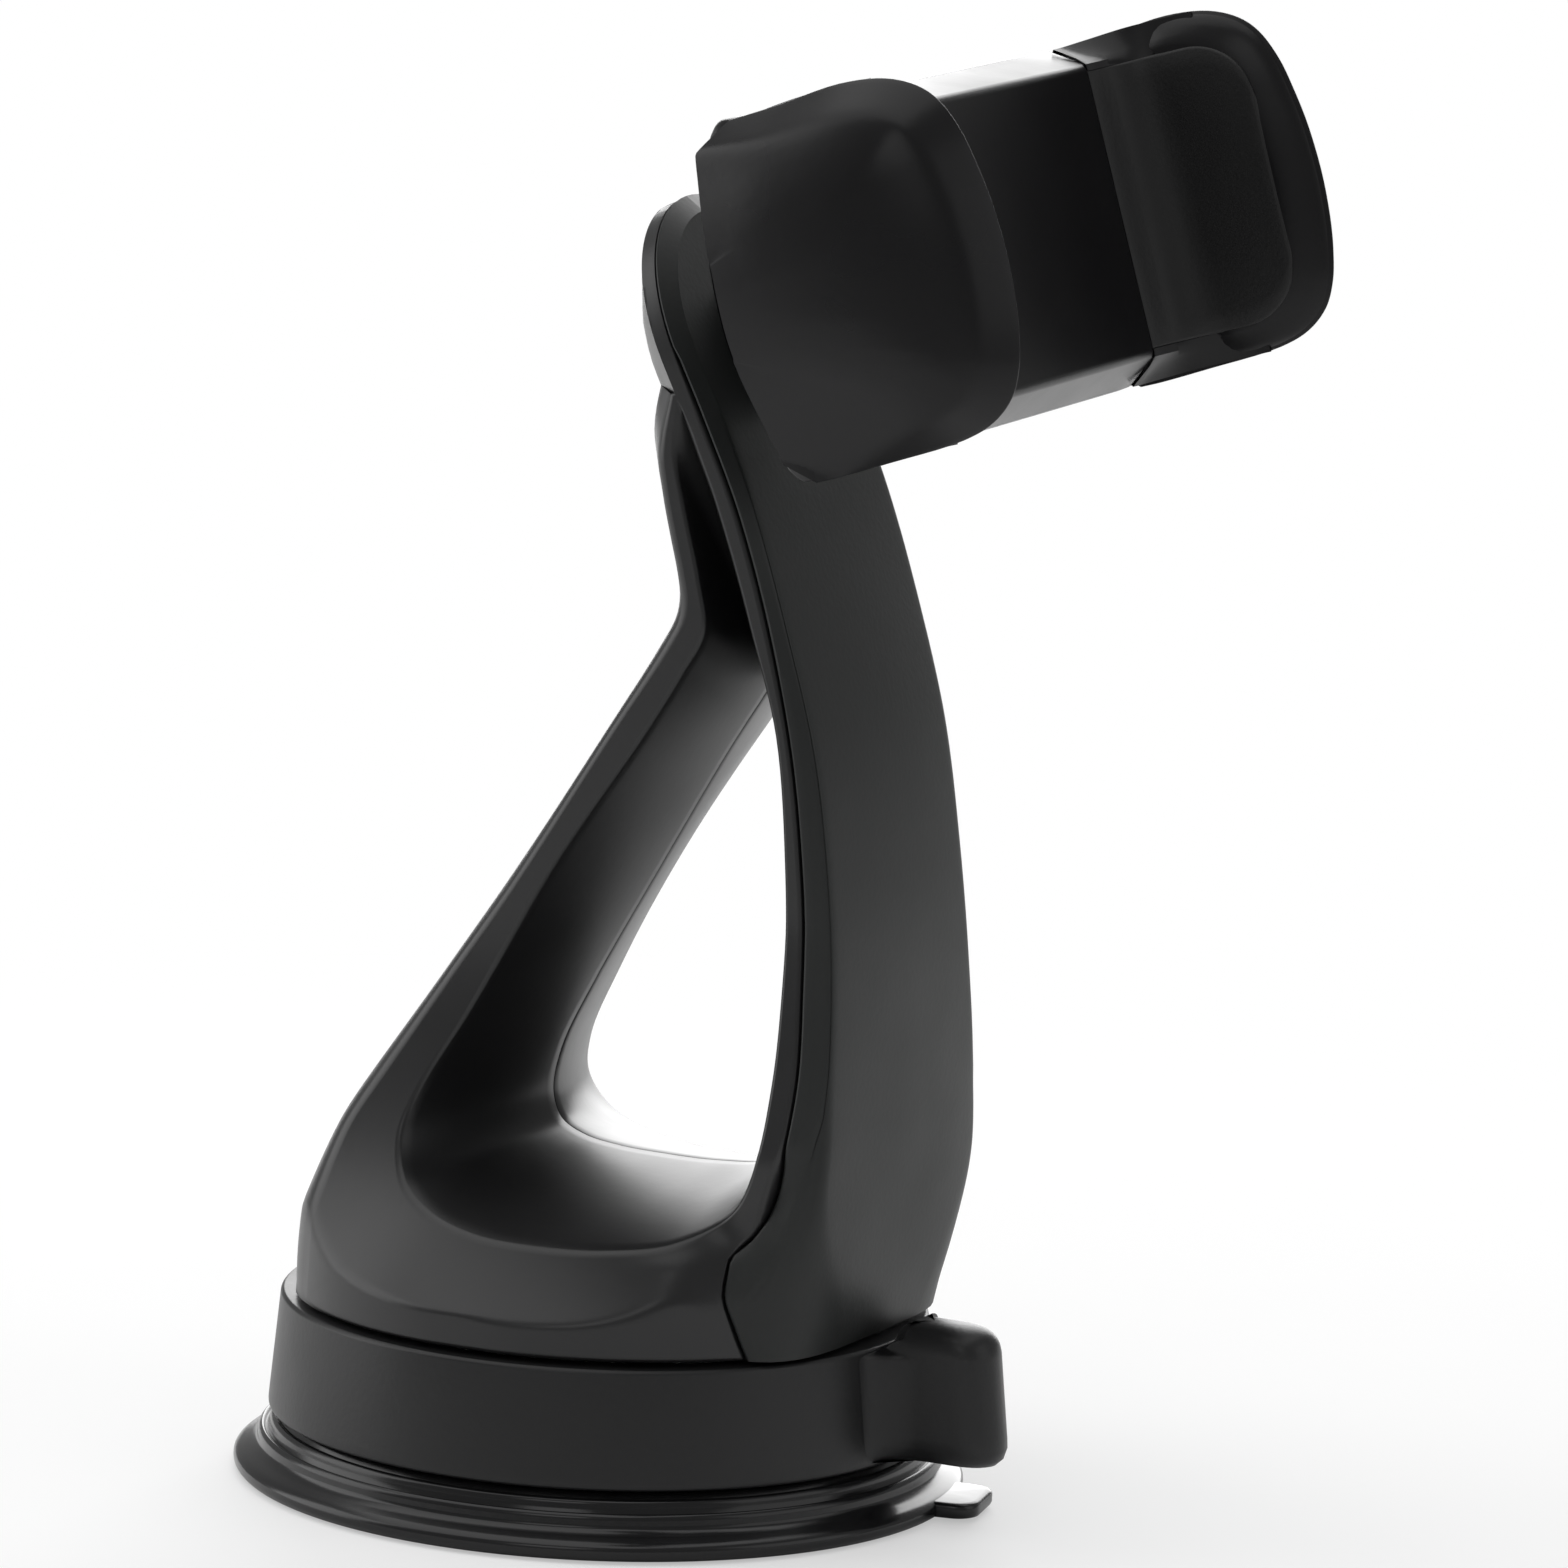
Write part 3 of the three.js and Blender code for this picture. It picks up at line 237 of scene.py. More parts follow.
def plastic(name, color, roughness, grain=900.0, bump=0.02, specular=0.5, coat=0.0, metallic=0.0):
    """Moulded surface: fine grain in the relief, slow drift in the roughness and the tone."""
    material = bpy.data.materials.new(name)
    material.use_nodes = True
    nodes, links = material.node_tree.nodes, material.node_tree.links
    shader = nodes["Principled BSDF"]
    shader.inputs["Metallic"].default_value = metallic
    shader.inputs["Specular IOR Level"].default_value = specular
    shader.inputs["Coat Weight"].default_value = coat
    shader.inputs["Coat Roughness"].default_value = COAT_ROUGHNESS
    place = nodes.new("ShaderNodeTexCoord")
    slow = nodes.new("ShaderNodeTexNoise")
    slow.inputs["Scale"].default_value = DRIFT_SCALE
    slow.inputs["Detail"].default_value = 3.0
    fine = nodes.new("ShaderNodeTexNoise")
    fine.inputs["Scale"].default_value = grain
    fine.inputs["Detail"].default_value = 2.0
    rough = nodes.new("ShaderNodeMapRange")
    rough.inputs["From Min"].default_value = 0.3
    rough.inputs["From Max"].default_value = 0.7
    rough.inputs["To Min"].default_value = roughness - ROUGHNESS_SWING
    rough.inputs["To Max"].default_value = roughness + ROUGHNESS_SWING
    tone = nodes.new("ShaderNodeMix")
    tone.data_type = "RGBA"
    tone.inputs["A"].default_value = (*[c * (1 - TONE_SWING) for c in color], 1)
    tone.inputs["B"].default_value = (*[c * (1 + TONE_SWING) for c in color], 1)
    relief = nodes.new("ShaderNodeBump")
    relief.inputs["Strength"].default_value = bump
    relief.inputs["Distance"].default_value = RELIEF_HEIGHT
    links.new(place.outputs["Object"], slow.inputs["Vector"])
    links.new(place.outputs["Object"], fine.inputs["Vector"])
    links.new(slow.outputs["Fac"], rough.inputs["Value"])
    links.new(rough.outputs["Result"], shader.inputs["Roughness"])
    links.new(slow.outputs["Fac"], tone.inputs["Factor"])
    links.new(tone.outputs["Result"], shader.inputs["Base Color"])
    links.new(fine.outputs["Fac"], relief.inputs["Height"])
    links.new(relief.outputs["Normal"], shader.inputs["Normal"])
    return material


BODY = plastic("body_satin_black", (0.008, 0.008, 0.0085), 0.34)
JAW = plastic("jaw_satin_black", (0.0058, 0.0056, 0.0062), 0.3, specular=0.25)
COVER = plastic("cover_satin_charcoal", (0.014, 0.0152, 0.0148), 0.46, grain=1600.0, bump=0.05, specular=0.34)
RING = plastic("ring_satin_black", (0.0105, 0.0105, 0.011), 0.38, grain=1400.0, bump=0.05, specular=0.36)
CUP = plastic("cup_gloss_rubber", (0.008, 0.008, 0.0085), 0.2, specular=0.4)
PAD = plastic("pad_soft_black", (0.009, 0.009, 0.0092), 0.46, grain=2200.0, bump=0.08, specular=0.34)
GEL = plastic("gel_sticky", (0.02, 0.021, 0.022), 0.18, coat=0.4)
INNER = plastic("inner_moulded", (0.03, 0.03, 0.032), 0.5, bump=0.06)
STEEL = plastic("zinc_plated_steel", (0.55, 0.56, 0.57), 0.3, grain=500.0, bump=0.04, metallic=1.0)


def finish_piece(obj, material, body, replaced):
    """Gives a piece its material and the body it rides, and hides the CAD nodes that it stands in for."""
    obj.data.materials.clear()
    obj.data.materials.append(material)
    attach(obj, body)
    if replaced:
        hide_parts(*replaced)
    return obj


# ------------------------------------------------------------------ arm

# Side view of the arm, as (z, y) knots: the seam behind the cover, the middle and the corner of the cover's
# face (the corner as half widths), the back ridge and the crease where the sides meet the back.
SEAM_LINE = [(19.8, -27.5), (24, -26.35), (27.3, -25.5), (29.9, -25.4), (31.5, -25.5), (32.3, -26.2), (33.6, -27.4),
             (35.8, -28.8), (40.2, -30.1), (45.8, -30.9), (52, -31.2), (60, -30.7), (72, -29.8),
             (85, -27.9), (98, -24.6), (110, -20.5), (120, -15.8), (125, -13.2), (145, -2.8)]
COVER_LINE = [(20, -32.4), (24, -33.4), (30, -34.25), (37, -34.8), (45, -34.9), (60, -34.15), (72, -32.8),
              (85, -30.5), (97, -26.9), (110, -22.25), (120, -17.6), (125, -14.78), (145, -4.38)]
COVER_CORNER = [(20, 18.6), (30, 19.0), (38, 19.0), (46, 18.3), (54, 17.3), (62, 16.6), (72, 16.1), (85, 15.9),
                (98, 15.9), (110, 15.7), (118, 15.4), (126, 15.1)]
RIDGE_LINE = [(20, 34.3), (26, 34.3), (32, 32.8), (42, 27.6), (56, 18), (66, 11.4), (75, 5.3), (85, -1.2),
              (94, -6.4), (99, -8.8), (103, -9.2), (111, -7.4), (116, -6.7), (122, -8)]
CREASE_LINE = [(20, 24), (30, 23.2), (39, 21.6), (45, 18.6), (57, 11.3), (68, 3.9), (85, -6.6), (97, -14.1),
               (100, -14.75), (103, -14.2), (107, -13.1), (111.4, -12), (115.7, -11.3), (122, -12.3)]
ARM_BOTTOM = 20.35
PADDLE_Z = 125.7
PADDLE_Y = along(SEAM_LINE, PADDLE_Z)
PADDLE_R = 17.3
PADDLE_EDGE = 2.2
SLOPE = math.radians(62.5)
FOOT_RADIUS = 34.3
FOOT_TOP = 30
STRIP_HALF = 17.2
BELL_SPREAD = 17
BELL_TOP = 65
PADDLE = Matrix.Translation((0, PADDLE_Y, PADDLE_Z)) @ Matrix.Rotation(SLOPE, 4, "X")


def on_paddle(up, depth):
    """(y, z) of a point up the slope of the paddle and behind the seam plane."""
    return (PADDLE_Y + up * math.cos(SLOPE) + depth * math.sin(SLOPE),
            PADDLE_Z + up * math.sin(SLOPE) - depth * math.cos(SLOPE))


def up_slope(y, z):
    """Distance of a point up the slope from the paddle's middle."""
    return (y - PADDLE_Y) * math.cos(SLOPE) + (z - PADDLE_Z) * math.sin(SLOPE)


def strip_width(z):
    """Half the width of the strip beside the cover."""
    return STRIP_HALF - 0.1 + 3.6 * clamp01(1 - (z - 42) / 25) ** 1.3 + 0.2 * clamp01((z - 100) / 20)


def foot_limit(y, z, least):
    """Half width that the round foot leaves at (y, z)."""
    radius = FOOT_RADIUS + 0.05 * max(0, z - FOOT_TOP) ** 1.5
    return math.sqrt(max(radius * radius - y * y, least))


def half_width(y, z):
    """Half the arm's width at a point of its side."""
    start = 24 - 5.8 * min(abs(y - 1) / 21, 1.35) ** 2 - 0.3 * max(0, -20 - y) ** 2
    side = STRIP_HALF + BELL_SPREAD * clamp01((BELL_TOP - z) / (BELL_TOP - start)) ** 2.39
    front = smooth01((along(SEAM_LINE, z) + 12 - y) / 10) * smooth01((z - FOOT_TOP) / 8)
    width = mix(side, strip_width(z), front)
    width = smooth_min(width, foot_limit(y, z, 0.01), 0.4)
    up = up_slope(y, z)
    if up > 0:
        width = min(width, math.sqrt(max(PADDLE_R**2 - up * up, 0.0)))
    return width


# The arm's opening as closed (y, z) loops, at its side and at its middle.
INNER_SIDE = [(-13.3, 121.2), (-13.0, 116), (-14.1, 111), (-16.3, 103), (-17.3, 97.3), (-14.95, 92.6), (-10.6, 85.3),
              (0, 69.3), (8.9, 52.8), (13.4, 44), (14.3, 39.4), (12.4, 35.2), (8.5, 32.8), (2, 31.3), (-5, 31),
              (-13, 31.3), (-20, 32.6), (-25, 35.8), (-27.4, 41), (-28.4, 50), (-28.4, 60), (-27.9, 72),
              (-26.1, 87), (-22.6, 98), (-20.2, 105), (-17.5, 112), (-15.2, 117)]
INNER_MIDDLE = [(-19.6, 92.8), (-19.5, 92.7), (-19.3, 92.5), (-18.7, 91.7), (-17.4, 89.9), (-15.6, 87), (-12.5, 82),
                (-4.6, 68), (3, 54.2), (6.4, 47), (7.3, 42), (6.2, 39), (3.4, 37.5), (-1, 36.8), (-6, 36.6),
                (-13, 36.7), (-19.5, 37.6), (-23.2, 40), (-25.0, 44), (-26, 51), (-26.4, 60), (-26, 70),
                (-24, 84), (-21.4, 90.4), (-20.4, 92), (-20, 92.5), (-19.8, 92.7)]
# The arm's outer loop, one stop for each point of the loops above.
OUTER_KEYS = ["back 122", "back 115.7", "back 111.4", "back 103", "back 97", "back 93", "back 85", "back 68",
              "back 56", "back 46", "back 39", "back 30", "low 24", "low 12", "low -2", "low -14",
              "front 20.35", "front 31", "front 42", "front 50", "front 60", "front 72", "front 87", "front 98",
              "front 105", "front 112", "front 117"]


RIM_DEPTH = 1.7
RIM_SLOPE = 6
RIM_STEPS = 18


def outer_point(key, s):
    """(y, z) of the arm's outer skin at fraction s of its half width. key is (kind, value)."""
    kind, value = key
    if kind == "front":
        return along(SEAM_LINE, value), value
    if kind == "low":
        t = (24 - value) / (24 - along(SEAM_LINE, ARM_BOTTOM))
        back = outer_point(("back", ARM_BOTTOM), s)[0]
        return mix(back, along(SEAM_LINE, ARM_BOTTOM), t), ARM_BOTTOM
    soft = max(0.0, 1 - math.sqrt(s * s + 0.0016))
    bulge = soft**0.625
    flat = clamp01((1 - s) * PADDLE_R / RIM_SLOPE)
    if kind == "back":
        crease, ridge = along(CREASE_LINE, value), along(RIDGE_LINE, value)
        bulge = mix(bulge, flat, smooth01((value - 108) / 14))
        return crease + (ridge - crease) * bulge, value
    if kind == "rim":
        edge = PADDLE_R - math.hypot(s * half_width(*on_paddle(value, 1)), max(value, 0))
        return on_paddle(value, RIM_DEPTH + 4.3 * clamp01(edge / RIM_SLOPE))
    return on_paddle(value, 1.1 if kind == "edge" else 0)


def outer_keys(per):
    """The whole outer loop as keys, with the fraction of the inner loop that each belongs to."""
    keys = []
    count = len(OUTER_KEYS)
    for i in range(count - 1):
        kind0, v0 = OUTER_KEYS[i].split()
        kind1, v1 = OUTER_KEYS[i + 1].split()
        v0, v1 = float(v0), float(v1)
        for j in range(per):
            t = j / per
            if kind0 == kind1:
                keys.append(((kind0, mix(v0, v1, t)), i + t))
            elif kind0 == "back":
                keys.append((("back", mix(v0, ARM_BOTTOM, t)), i + t))
            else:
                keys.append((("low", mix(v0, along(SEAM_LINE, ARM_BOTTOM), t)), i + t))
    keys.append((("front", 117.0), count - 1))
    low_up = up_slope(along(SEAM_LINE, 117), 117)
    for j in range(1, 6):
        keys.append((("face", mix(low_up, 0, j / 6)), count - 1 + 0.9 * j / 6))
    climb = [PADDLE_R * math.sin(math.radians(90 * j / RIM_STEPS)) for j in range(RIM_STEPS + 1)]
    keys += [(("face", up), count - 0.1) for up in climb]
    keys.append((("edge", PADDLE_R), count - 0.1))
    keys += [(("rim", up), count - 0.1) for up in reversed(climb)]
    for j in range(1, 4):
        keys.append((("rim", -4.1 * j / 4), count - 0.1 + 0.1 * j / 4))
    return keys


SEAM_EDGE = 0.1
SEAM_DEPTH = 0.06


def sunk(point, middle):
    """Point of the seam between the two shells, drawn a little towards the middle of the wall."""
    inward = np.array((0, *(middle - point)[1:]))
    return point + inward / max(np.linalg.norm(inward), 1e-6) * SEAM_DEPTH


def arm_rings(sign, per=8, across=16, side=34, loop=20):
    """Cross-sections of one half of the arm, each a closed ring through its outer, side and inner skins."""
    inner_side = spline(INNER_SIDE + INNER_SIDE[:1], loop)
    inner_middle = spline(INNER_MIDDLE + INNER_MIDDLE[:1], loop)
    rings = []
    for key, place in outer_keys(per):
        spot = min(place * loop, len(inner_side) - 1)
        low = int(spot)
        high = min(low + 1, len(inner_side) - 1)
        i_side = mix(inner_side[low], inner_side[high], spot - low)
        i_mid = mix(inner_middle[low], inner_middle[high], spot - low)
        o_side = np.array(outer_point(key, 1.0))
        o_width = half_width(*o_side)
        i_width = half_width(*i_side)
        reach = float(np.linalg.norm(o_side - i_side))

        def outer(s):
            y, z = outer_point(key, s)
            x = s * o_width
            if z < 36:
                x = smooth_min(x, foot_limit(y, z, 0.0), 0.6) if x > 0.4 else x
                x = max(x, 0)
            return np.array((x, y, z))

        def inner(s):
            y, z = mix(i_mid, i_side, s**1.5)
            return np.array((s * i_width, y, z))

        def cap(u):
            y, z = mix(o_side, i_side, u)
            return np.array((half_width(y, z), y, z))

        middle = (outer(0) + inner(0)) / 2
        w = max(o_width, 1.0)
        round_out = min(0.5, reach * 0.3)
        spots = [0.0] + [mix(SEAM_EDGE / w, 1 - round_out / w, k / across) for k in range(across + 1)]
        ring = [outer(clamp01(s)) for s in spots]
        ring[0] = sunk(ring[0], middle)
        cap_start = min(round_out / max(reach, 1e-6), 0.3)
        cap_end = 1 - min(0.4 / max(reach, 1e-6), 0.3)
        first = cap(cap_start)
        ring.append(mix((ring[-1] + first) / 2, outer(1.0), 0.4))
        ring += [cap(mix(cap_start, cap_end, k / side)) for k in range(side + 1)]
        wi = max(i_width, 1.0)
        inner_spots = [mix(1 - 0.4 / wi, SEAM_EDGE / wi, k / across) for k in range(across + 1)] + [0.0]
        inside = [inner(clamp01(s)) for s in inner_spots]
        inside[-1] = sunk(inside[-1], middle)
        ring.append(mix((ring[-1] + inside[0]) / 2, inner(1.0), 0.4))
        ring += inside
        rings.append([(sign * p[0], p[1], p[2]) for p in ring])
    return rings


def build_arm():
    """The two shells of the arm, which meet at a fine seam in the middle."""
    for sign, node in ((-1, "arm_left_shell"), (1, "arm_right_shell")):
        half = skin(node + "_skin", arm_rings(sign), wrap=True, sharp=60)
        finish_piece(half, BODY, "mount", [node])


COVER_GAP = 0.3
COVER_THICK = 1.4
FLAT_TO = 118


def cover_half(z):
    """Half section of the cover at one height, from the seam to the middle of its front."""
    back = along(SEAM_LINE, z) - COVER_GAP
    front = along(COVER_LINE, z)
    edge = half_width(along(SEAM_LINE, z), z)
    start = np.array((edge, back - 0.3))
    end = np.array((along(COVER_CORNER, z), front))
    sweep = clamp01((z - 26) / 21) ** 0.4
    foot = np.array((mix(23.2, end[0], sweep), mix(-25.4, -34.2, sweep)))
    lean = mix(start, end, 0.92)
    middle = mix(lean, foot, smooth01((54 - z) / 10))
    if z < 26.4:
        middle = mix(start, end, 0.08)
    half = [(edge - 0.3, back + 0.12), (edge - 0.05, back - 0.05), tuple(start)]
    before = float(np.linalg.norm(middle - start))
    half += [tuple(mix(start, middle, t)) for t in (0.35, 0.7, 1 - min(0.3, 0.25 / max(before, 1e-6)))]
    groove = 0.1 * smooth01((z - 26.4) / 2) * smooth01((122 - z) / 6)
    half.append(tuple(middle + groove * np.array((-0.75, 0.66))))
    length = float(np.linalg.norm(end - middle))
    turn = mix(6.5, 1.0, smooth01((z - 20) / 20))
    a = mix(end, middle, min(turn / max(length, 1e-6), 0.9))
    after = max(float(np.linalg.norm(a - middle)), 1e-6)
    half += [tuple(mix(middle, a, t)) for t in (min(0.3, 0.25 / after), 0.6)]
    bulge = 0.6 * clamp01((FLAT_TO - z) / 20)

    def face(x):
        return front - bulge * (1 - (x / end[0]) ** 2)

    b = np.array((end[0] - turn * 1.3, face(end[0] - turn * 1.3)))
    for k in range(7):
        t = k / 6
        half.append(tuple((1 - t) ** 2 * a + 2 * t * (1 - t) * end + t * t * b))
    for k in range(1, 13):
        x = b[0] * (1 - k / 12)
        half.append((x, face(x)))
    return half


def build_cover():
    """The front cover: a strip up the arm that ends in a half disc over the paddle."""
    rings = []
    for z in [mix(ARM_BOTTOM, PADDLE_Z, k / 130) for k in range(131)]:
        half = cover_half(z)
        rings.append([(x, y, z) for x, y in half] + [(-x, y, z) for x, y in reversed(half[:-1])])
    top = rings[-1]
    rim = 9
    outer, inner = PADDLE_R, PADDLE_R - PADDLE_EDGE
    for j in range(1, 20):
        phi = math.radians(90 * j / 19)
        row = []
        for k, (x0, _, _) in enumerate(top[: len(top) // 2 + 1]):
            if k <= rim:
                f = clamp01((PADDLE_R - x0) / max(PADDLE_R - top[rim][0], 0.1))
                radius = mix(outer, inner, f)
                depth = mix(COVER_GAP, COVER_THICK, f) if k > 1 else 0.12
                row.append((radius * math.cos(phi), radius * math.sin(phi), depth))
            else:
                row.append((x0 * math.cos(phi) * inner / top[rim][0], inner * math.sin(phi), COVER_THICK))
        full = row + [(-x, u, n) for x, u, n in reversed(row[:-1])]
        rings.append([(x, *on_paddle(u, -n)) for x, u, n in full])
    cover = skin("front_cover_skin", rings, sharp=50)
    finish_piece(cover, COVER, "mount", ["front_cover"])


# ------------------------------------------------------------------ suction base

TAB_HALF = 5.2
TAB_ROOT = -37.6
TAB_LENGTH = 6.2
TAB_TURN = 11
RING_BOTTOM = 6.9
RING_TOP = 19.9
WING_HALF = 4
WING_LOW = 7.45
WING_HIGH = 22.6
WING_ROUND = 3.4


def build_base():
    """Suction cup with its pull tab, and the lock ring with its wing."""
    cup = lathe("suction_cup_skin", [
        (0.3, 1.65), (37.6, 1.65), (37.6, 0.05), (39.4, 0.05, 0.3), (40, 0.6, 0.5), (40, 1.55, 0.45), (39.4, 2.1, 0.5),
        (38.1, 2.7, 0.4), (37.5, 3.2, 0.3), (37.4, 4.3, 0.35), (36.9, 4.75, 0.3), (36.5, 4.2, 0.25), (36.2, 4.9, 0.2),
        (36.1, 5.6, 0.35), (35.6, 6.0, 0.3), (35.1, 5.5, 0.25), (34.7, 6.3, 0.3),
        (33.6, 6.5, 0.3), (14, 6.55), (12, 7.3), (10.6, 7.3), (10.6, 3.3), (0.3, 3.3),
    ], segments=144, radius=0.2, steps=4)
    finish_piece(cup, CUP, "mount", ["suction_cup"])
    turn = Matrix.Rotation(math.radians(TAB_TURN), 4, "Z")
    tongue = densify(rounded_box(-TAB_HALF, TAB_HALF, -43.8, TAB_ROOT, [2.5, 2.5, 0.5, 0.5], 8), 0.8)
    rings = []
    for z, inset in ((0.3, 0.35), (0.4, 0.12), (0.7, 0), (1.5, 0), (1.8, 0.12), (1.95, 0.35), (2.0, 0.7)):
        rings.append([(x * (TAB_HALF - inset) / TAB_HALF,
                       TAB_ROOT + (y - TAB_ROOT) * (TAB_LENGTH - inset) / TAB_LENGTH, z) for x, y in tongue])
    tab = skin("pull_tab", rings, turn, sharp=50)
    finish_piece(tab, CUP, "mount", None)

    ring = lathe("lock_ring_skin", [
        (34.4, RING_BOTTOM), (36.4, RING_BOTTOM, 0.5), (36.35, 8, 0.3), (35.42, 19.45, 0.15), (35.1, 19.8, 0.15),
        (31.9, RING_TOP, 0.3),
        (31.9, 7.9), (34.4, 7.9),
    ], segments=160, radius=0.12, steps=4)
    finish_piece(ring, RING, "lock_ring", ["lock_ring"])
    build_wing()


def wing_outline(inset, z):
    """Plan of the wing at one height: a rounded blade that swells into the ring."""
    half = WING_HALF - inset
    ring = 36.4 - (min(z, RING_TOP) - RING_BOTTOM) / 13.0 - 0.05
    fillet = mix(5.0, 1.5, smooth01((z - 18.9) / 1.0))
    across = half + fillet
    centre = -math.sqrt((ring + fillet) ** 2 - across**2)
    start = math.atan2(-centre, -across)
    root = (across + fillet * math.cos(start), centre + fillet * math.sin(start))
    plan = [(root[0] * 0.985, root[1] * 0.985)]
    for k in range(9):
        a = mix(start, math.pi, k / 8)
        plan.append((across + fillet * math.cos(a), centre + fillet * math.sin(a)))
    tip = -mix(48.95, 47.1, clamp01((z - WING_LOW) / (WING_HIGH - WING_LOW))) + inset
    for k in range(1, 6):
        plan.append((half, mix(centre, tip + WING_ROUND, k / 6)))
    for k in range(13):
        a = math.radians(-180 * k / 12)
        plan.append((half * math.cos(a), tip + WING_ROUND + WING_ROUND * math.sin(a)))
    mirrored = [(-x, y) for x, y in reversed(plan[:15])]
    return plan + mirrored


def build_wing():
    """The wing, as levels of (height, inset); above the ring it keeps clear of the arm's foot."""
    rings = []
    heights = [(WING_LOW, 2.2), (7.75, 1.2), (8.4, 0.45), (9.4, 0.05), (10.5, 0)]
    heights += [(mix(10.5, 18.7, k / 8), 0) for k in range(1, 9)]
    heights += [(z, 0) for z in (19.0, 19.2, 19.4, 19.6, 19.8)]
    heights += [(20.3, 0.06), (20.8, 0.15), (21.3, 0.35), (21.8, 0.7), (22.2, 1.2), (22.45, 1.8), (WING_HIGH, 2.6)]
    for z, inset in heights:
        keep = mix(35.6, 38.2, smooth01((z - 19.5) / 1.8)) if z > 19.5 else 0
        ring = []
        for x, y in wing_outline(inset, z):
            r = math.hypot(x, y)
            if r < keep:
                x, y = x * keep / r, y * keep / r
            ring.append((x, y, z))
        rings.append(ring)
    blade = skin("lock_wing", rings, sharp=50)
    finish_piece(blade, RING, "lock_ring", None)


# ------------------------------------------------------------------ ball joint

BALL_RADIUS = 8.5
BALL_HEIGHT = 11.6
BALL_IN_HOLDER = Vector((0, 39.2, 7.45))
BALL = PADDLE @ Vector((0, 0, BALL_HEIGHT))
TILT = Matrix.Rotation(math.radians(-17), 4, "X") @ Matrix.Rotation(math.radians(-1.5), 4, "Y")
HOLDER = Matrix.Translation(BALL) @ TILT @ Matrix.Translation(-BALL_IN_HOLDER)
SOCKET = HOLDER @ Matrix.Translation(BALL_IN_HOLDER) @ Matrix.Rotation(math.radians(90), 4, "X")


def arc(radius, start, end, count):
    """Points on a circle, by their angle in degrees from straight up."""
    return [(radius * math.sin(math.radians(mix(start, end, k / count))),
             radius * math.cos(math.radians(mix(start, end, k / count)))) for k in range(count + 1)]


def build_ball():
    """The ball on its stud, and the ribbed locking nut round the socket."""
    ball = [(r, z + BALL_HEIGHT) for r, z in arc(BALL_RADIUS, 1, 152, 40)]
    stud = lathe("ball_stud_skin", ball + [(4, 3.6, 0.8), (4, 2.95, 0.2), (7, 2.95, 0.3), (7, 1.75, 0.3), (2.4, 1.75),
                                           (2.4, -4.6), (0.15, -4.6)], PADDLE, segments=72, radius=0.05)
    finish_piece(stud, BODY, "mount", ["ball_stud"])

    rib_root, rib_count = 13.5, 12

    def rib(r, z, a):
        if r < rib_root:
            return r
        return r - 0.75 * smooth01(0.5 + 1.4 * math.cos(rib_count * a)) * clamp01((r - rib_root) / 1.2)

    nut = lathe("locking_nut_skin", [(12.5, -1.65), (14.4, -1.65, 0.5), (15.2, -0.9, 0.6), (15.2, 5.95, 0.6),
                                     (14.4, 6.75, 0.5), (12.5, 6.75)], SOCKET, segments=240, radius=0.2, wave=rib)
    finish_piece(nut, BODY, "locking_nut", ["locking_nut"])


# ------------------------------------------------------------------ phone holder

PLATE_HALF = 38.88
SEAT_X = 33.2
SEAT_DEPTH = 0.4
PLATE_FRONT = 20


def extruded_x(name, outline, x0, x1, place, bevel, columns):
    """Closed (y, z) outline run along x with softly rounded ends."""
    centre = np.mean(np.array(outline, float), axis=0)
    stations = [(x0, bevel), (x0 + bevel * 0.3, bevel * 0.3), (x0 + bevel, 0)]
    stations += [(mix(x0 + bevel, x1 - bevel, k / columns), 0) for k in range(1, columns)]
    stations += [(x1 - bevel, 0), (x1 - bevel * 0.3, bevel * 0.3), (x1, bevel)]
    rings = []
    for x, inset in stations:
        ring = []
        for p in outline:
            d = np.array(p, float) - centre
            y, z = centre + d * (1 - inset / max(np.linalg.norm(d), 1e-6))
            ring.append((x, y, z))
        rings.append(ring)
    return skin(name, rings, place, sharp=40)


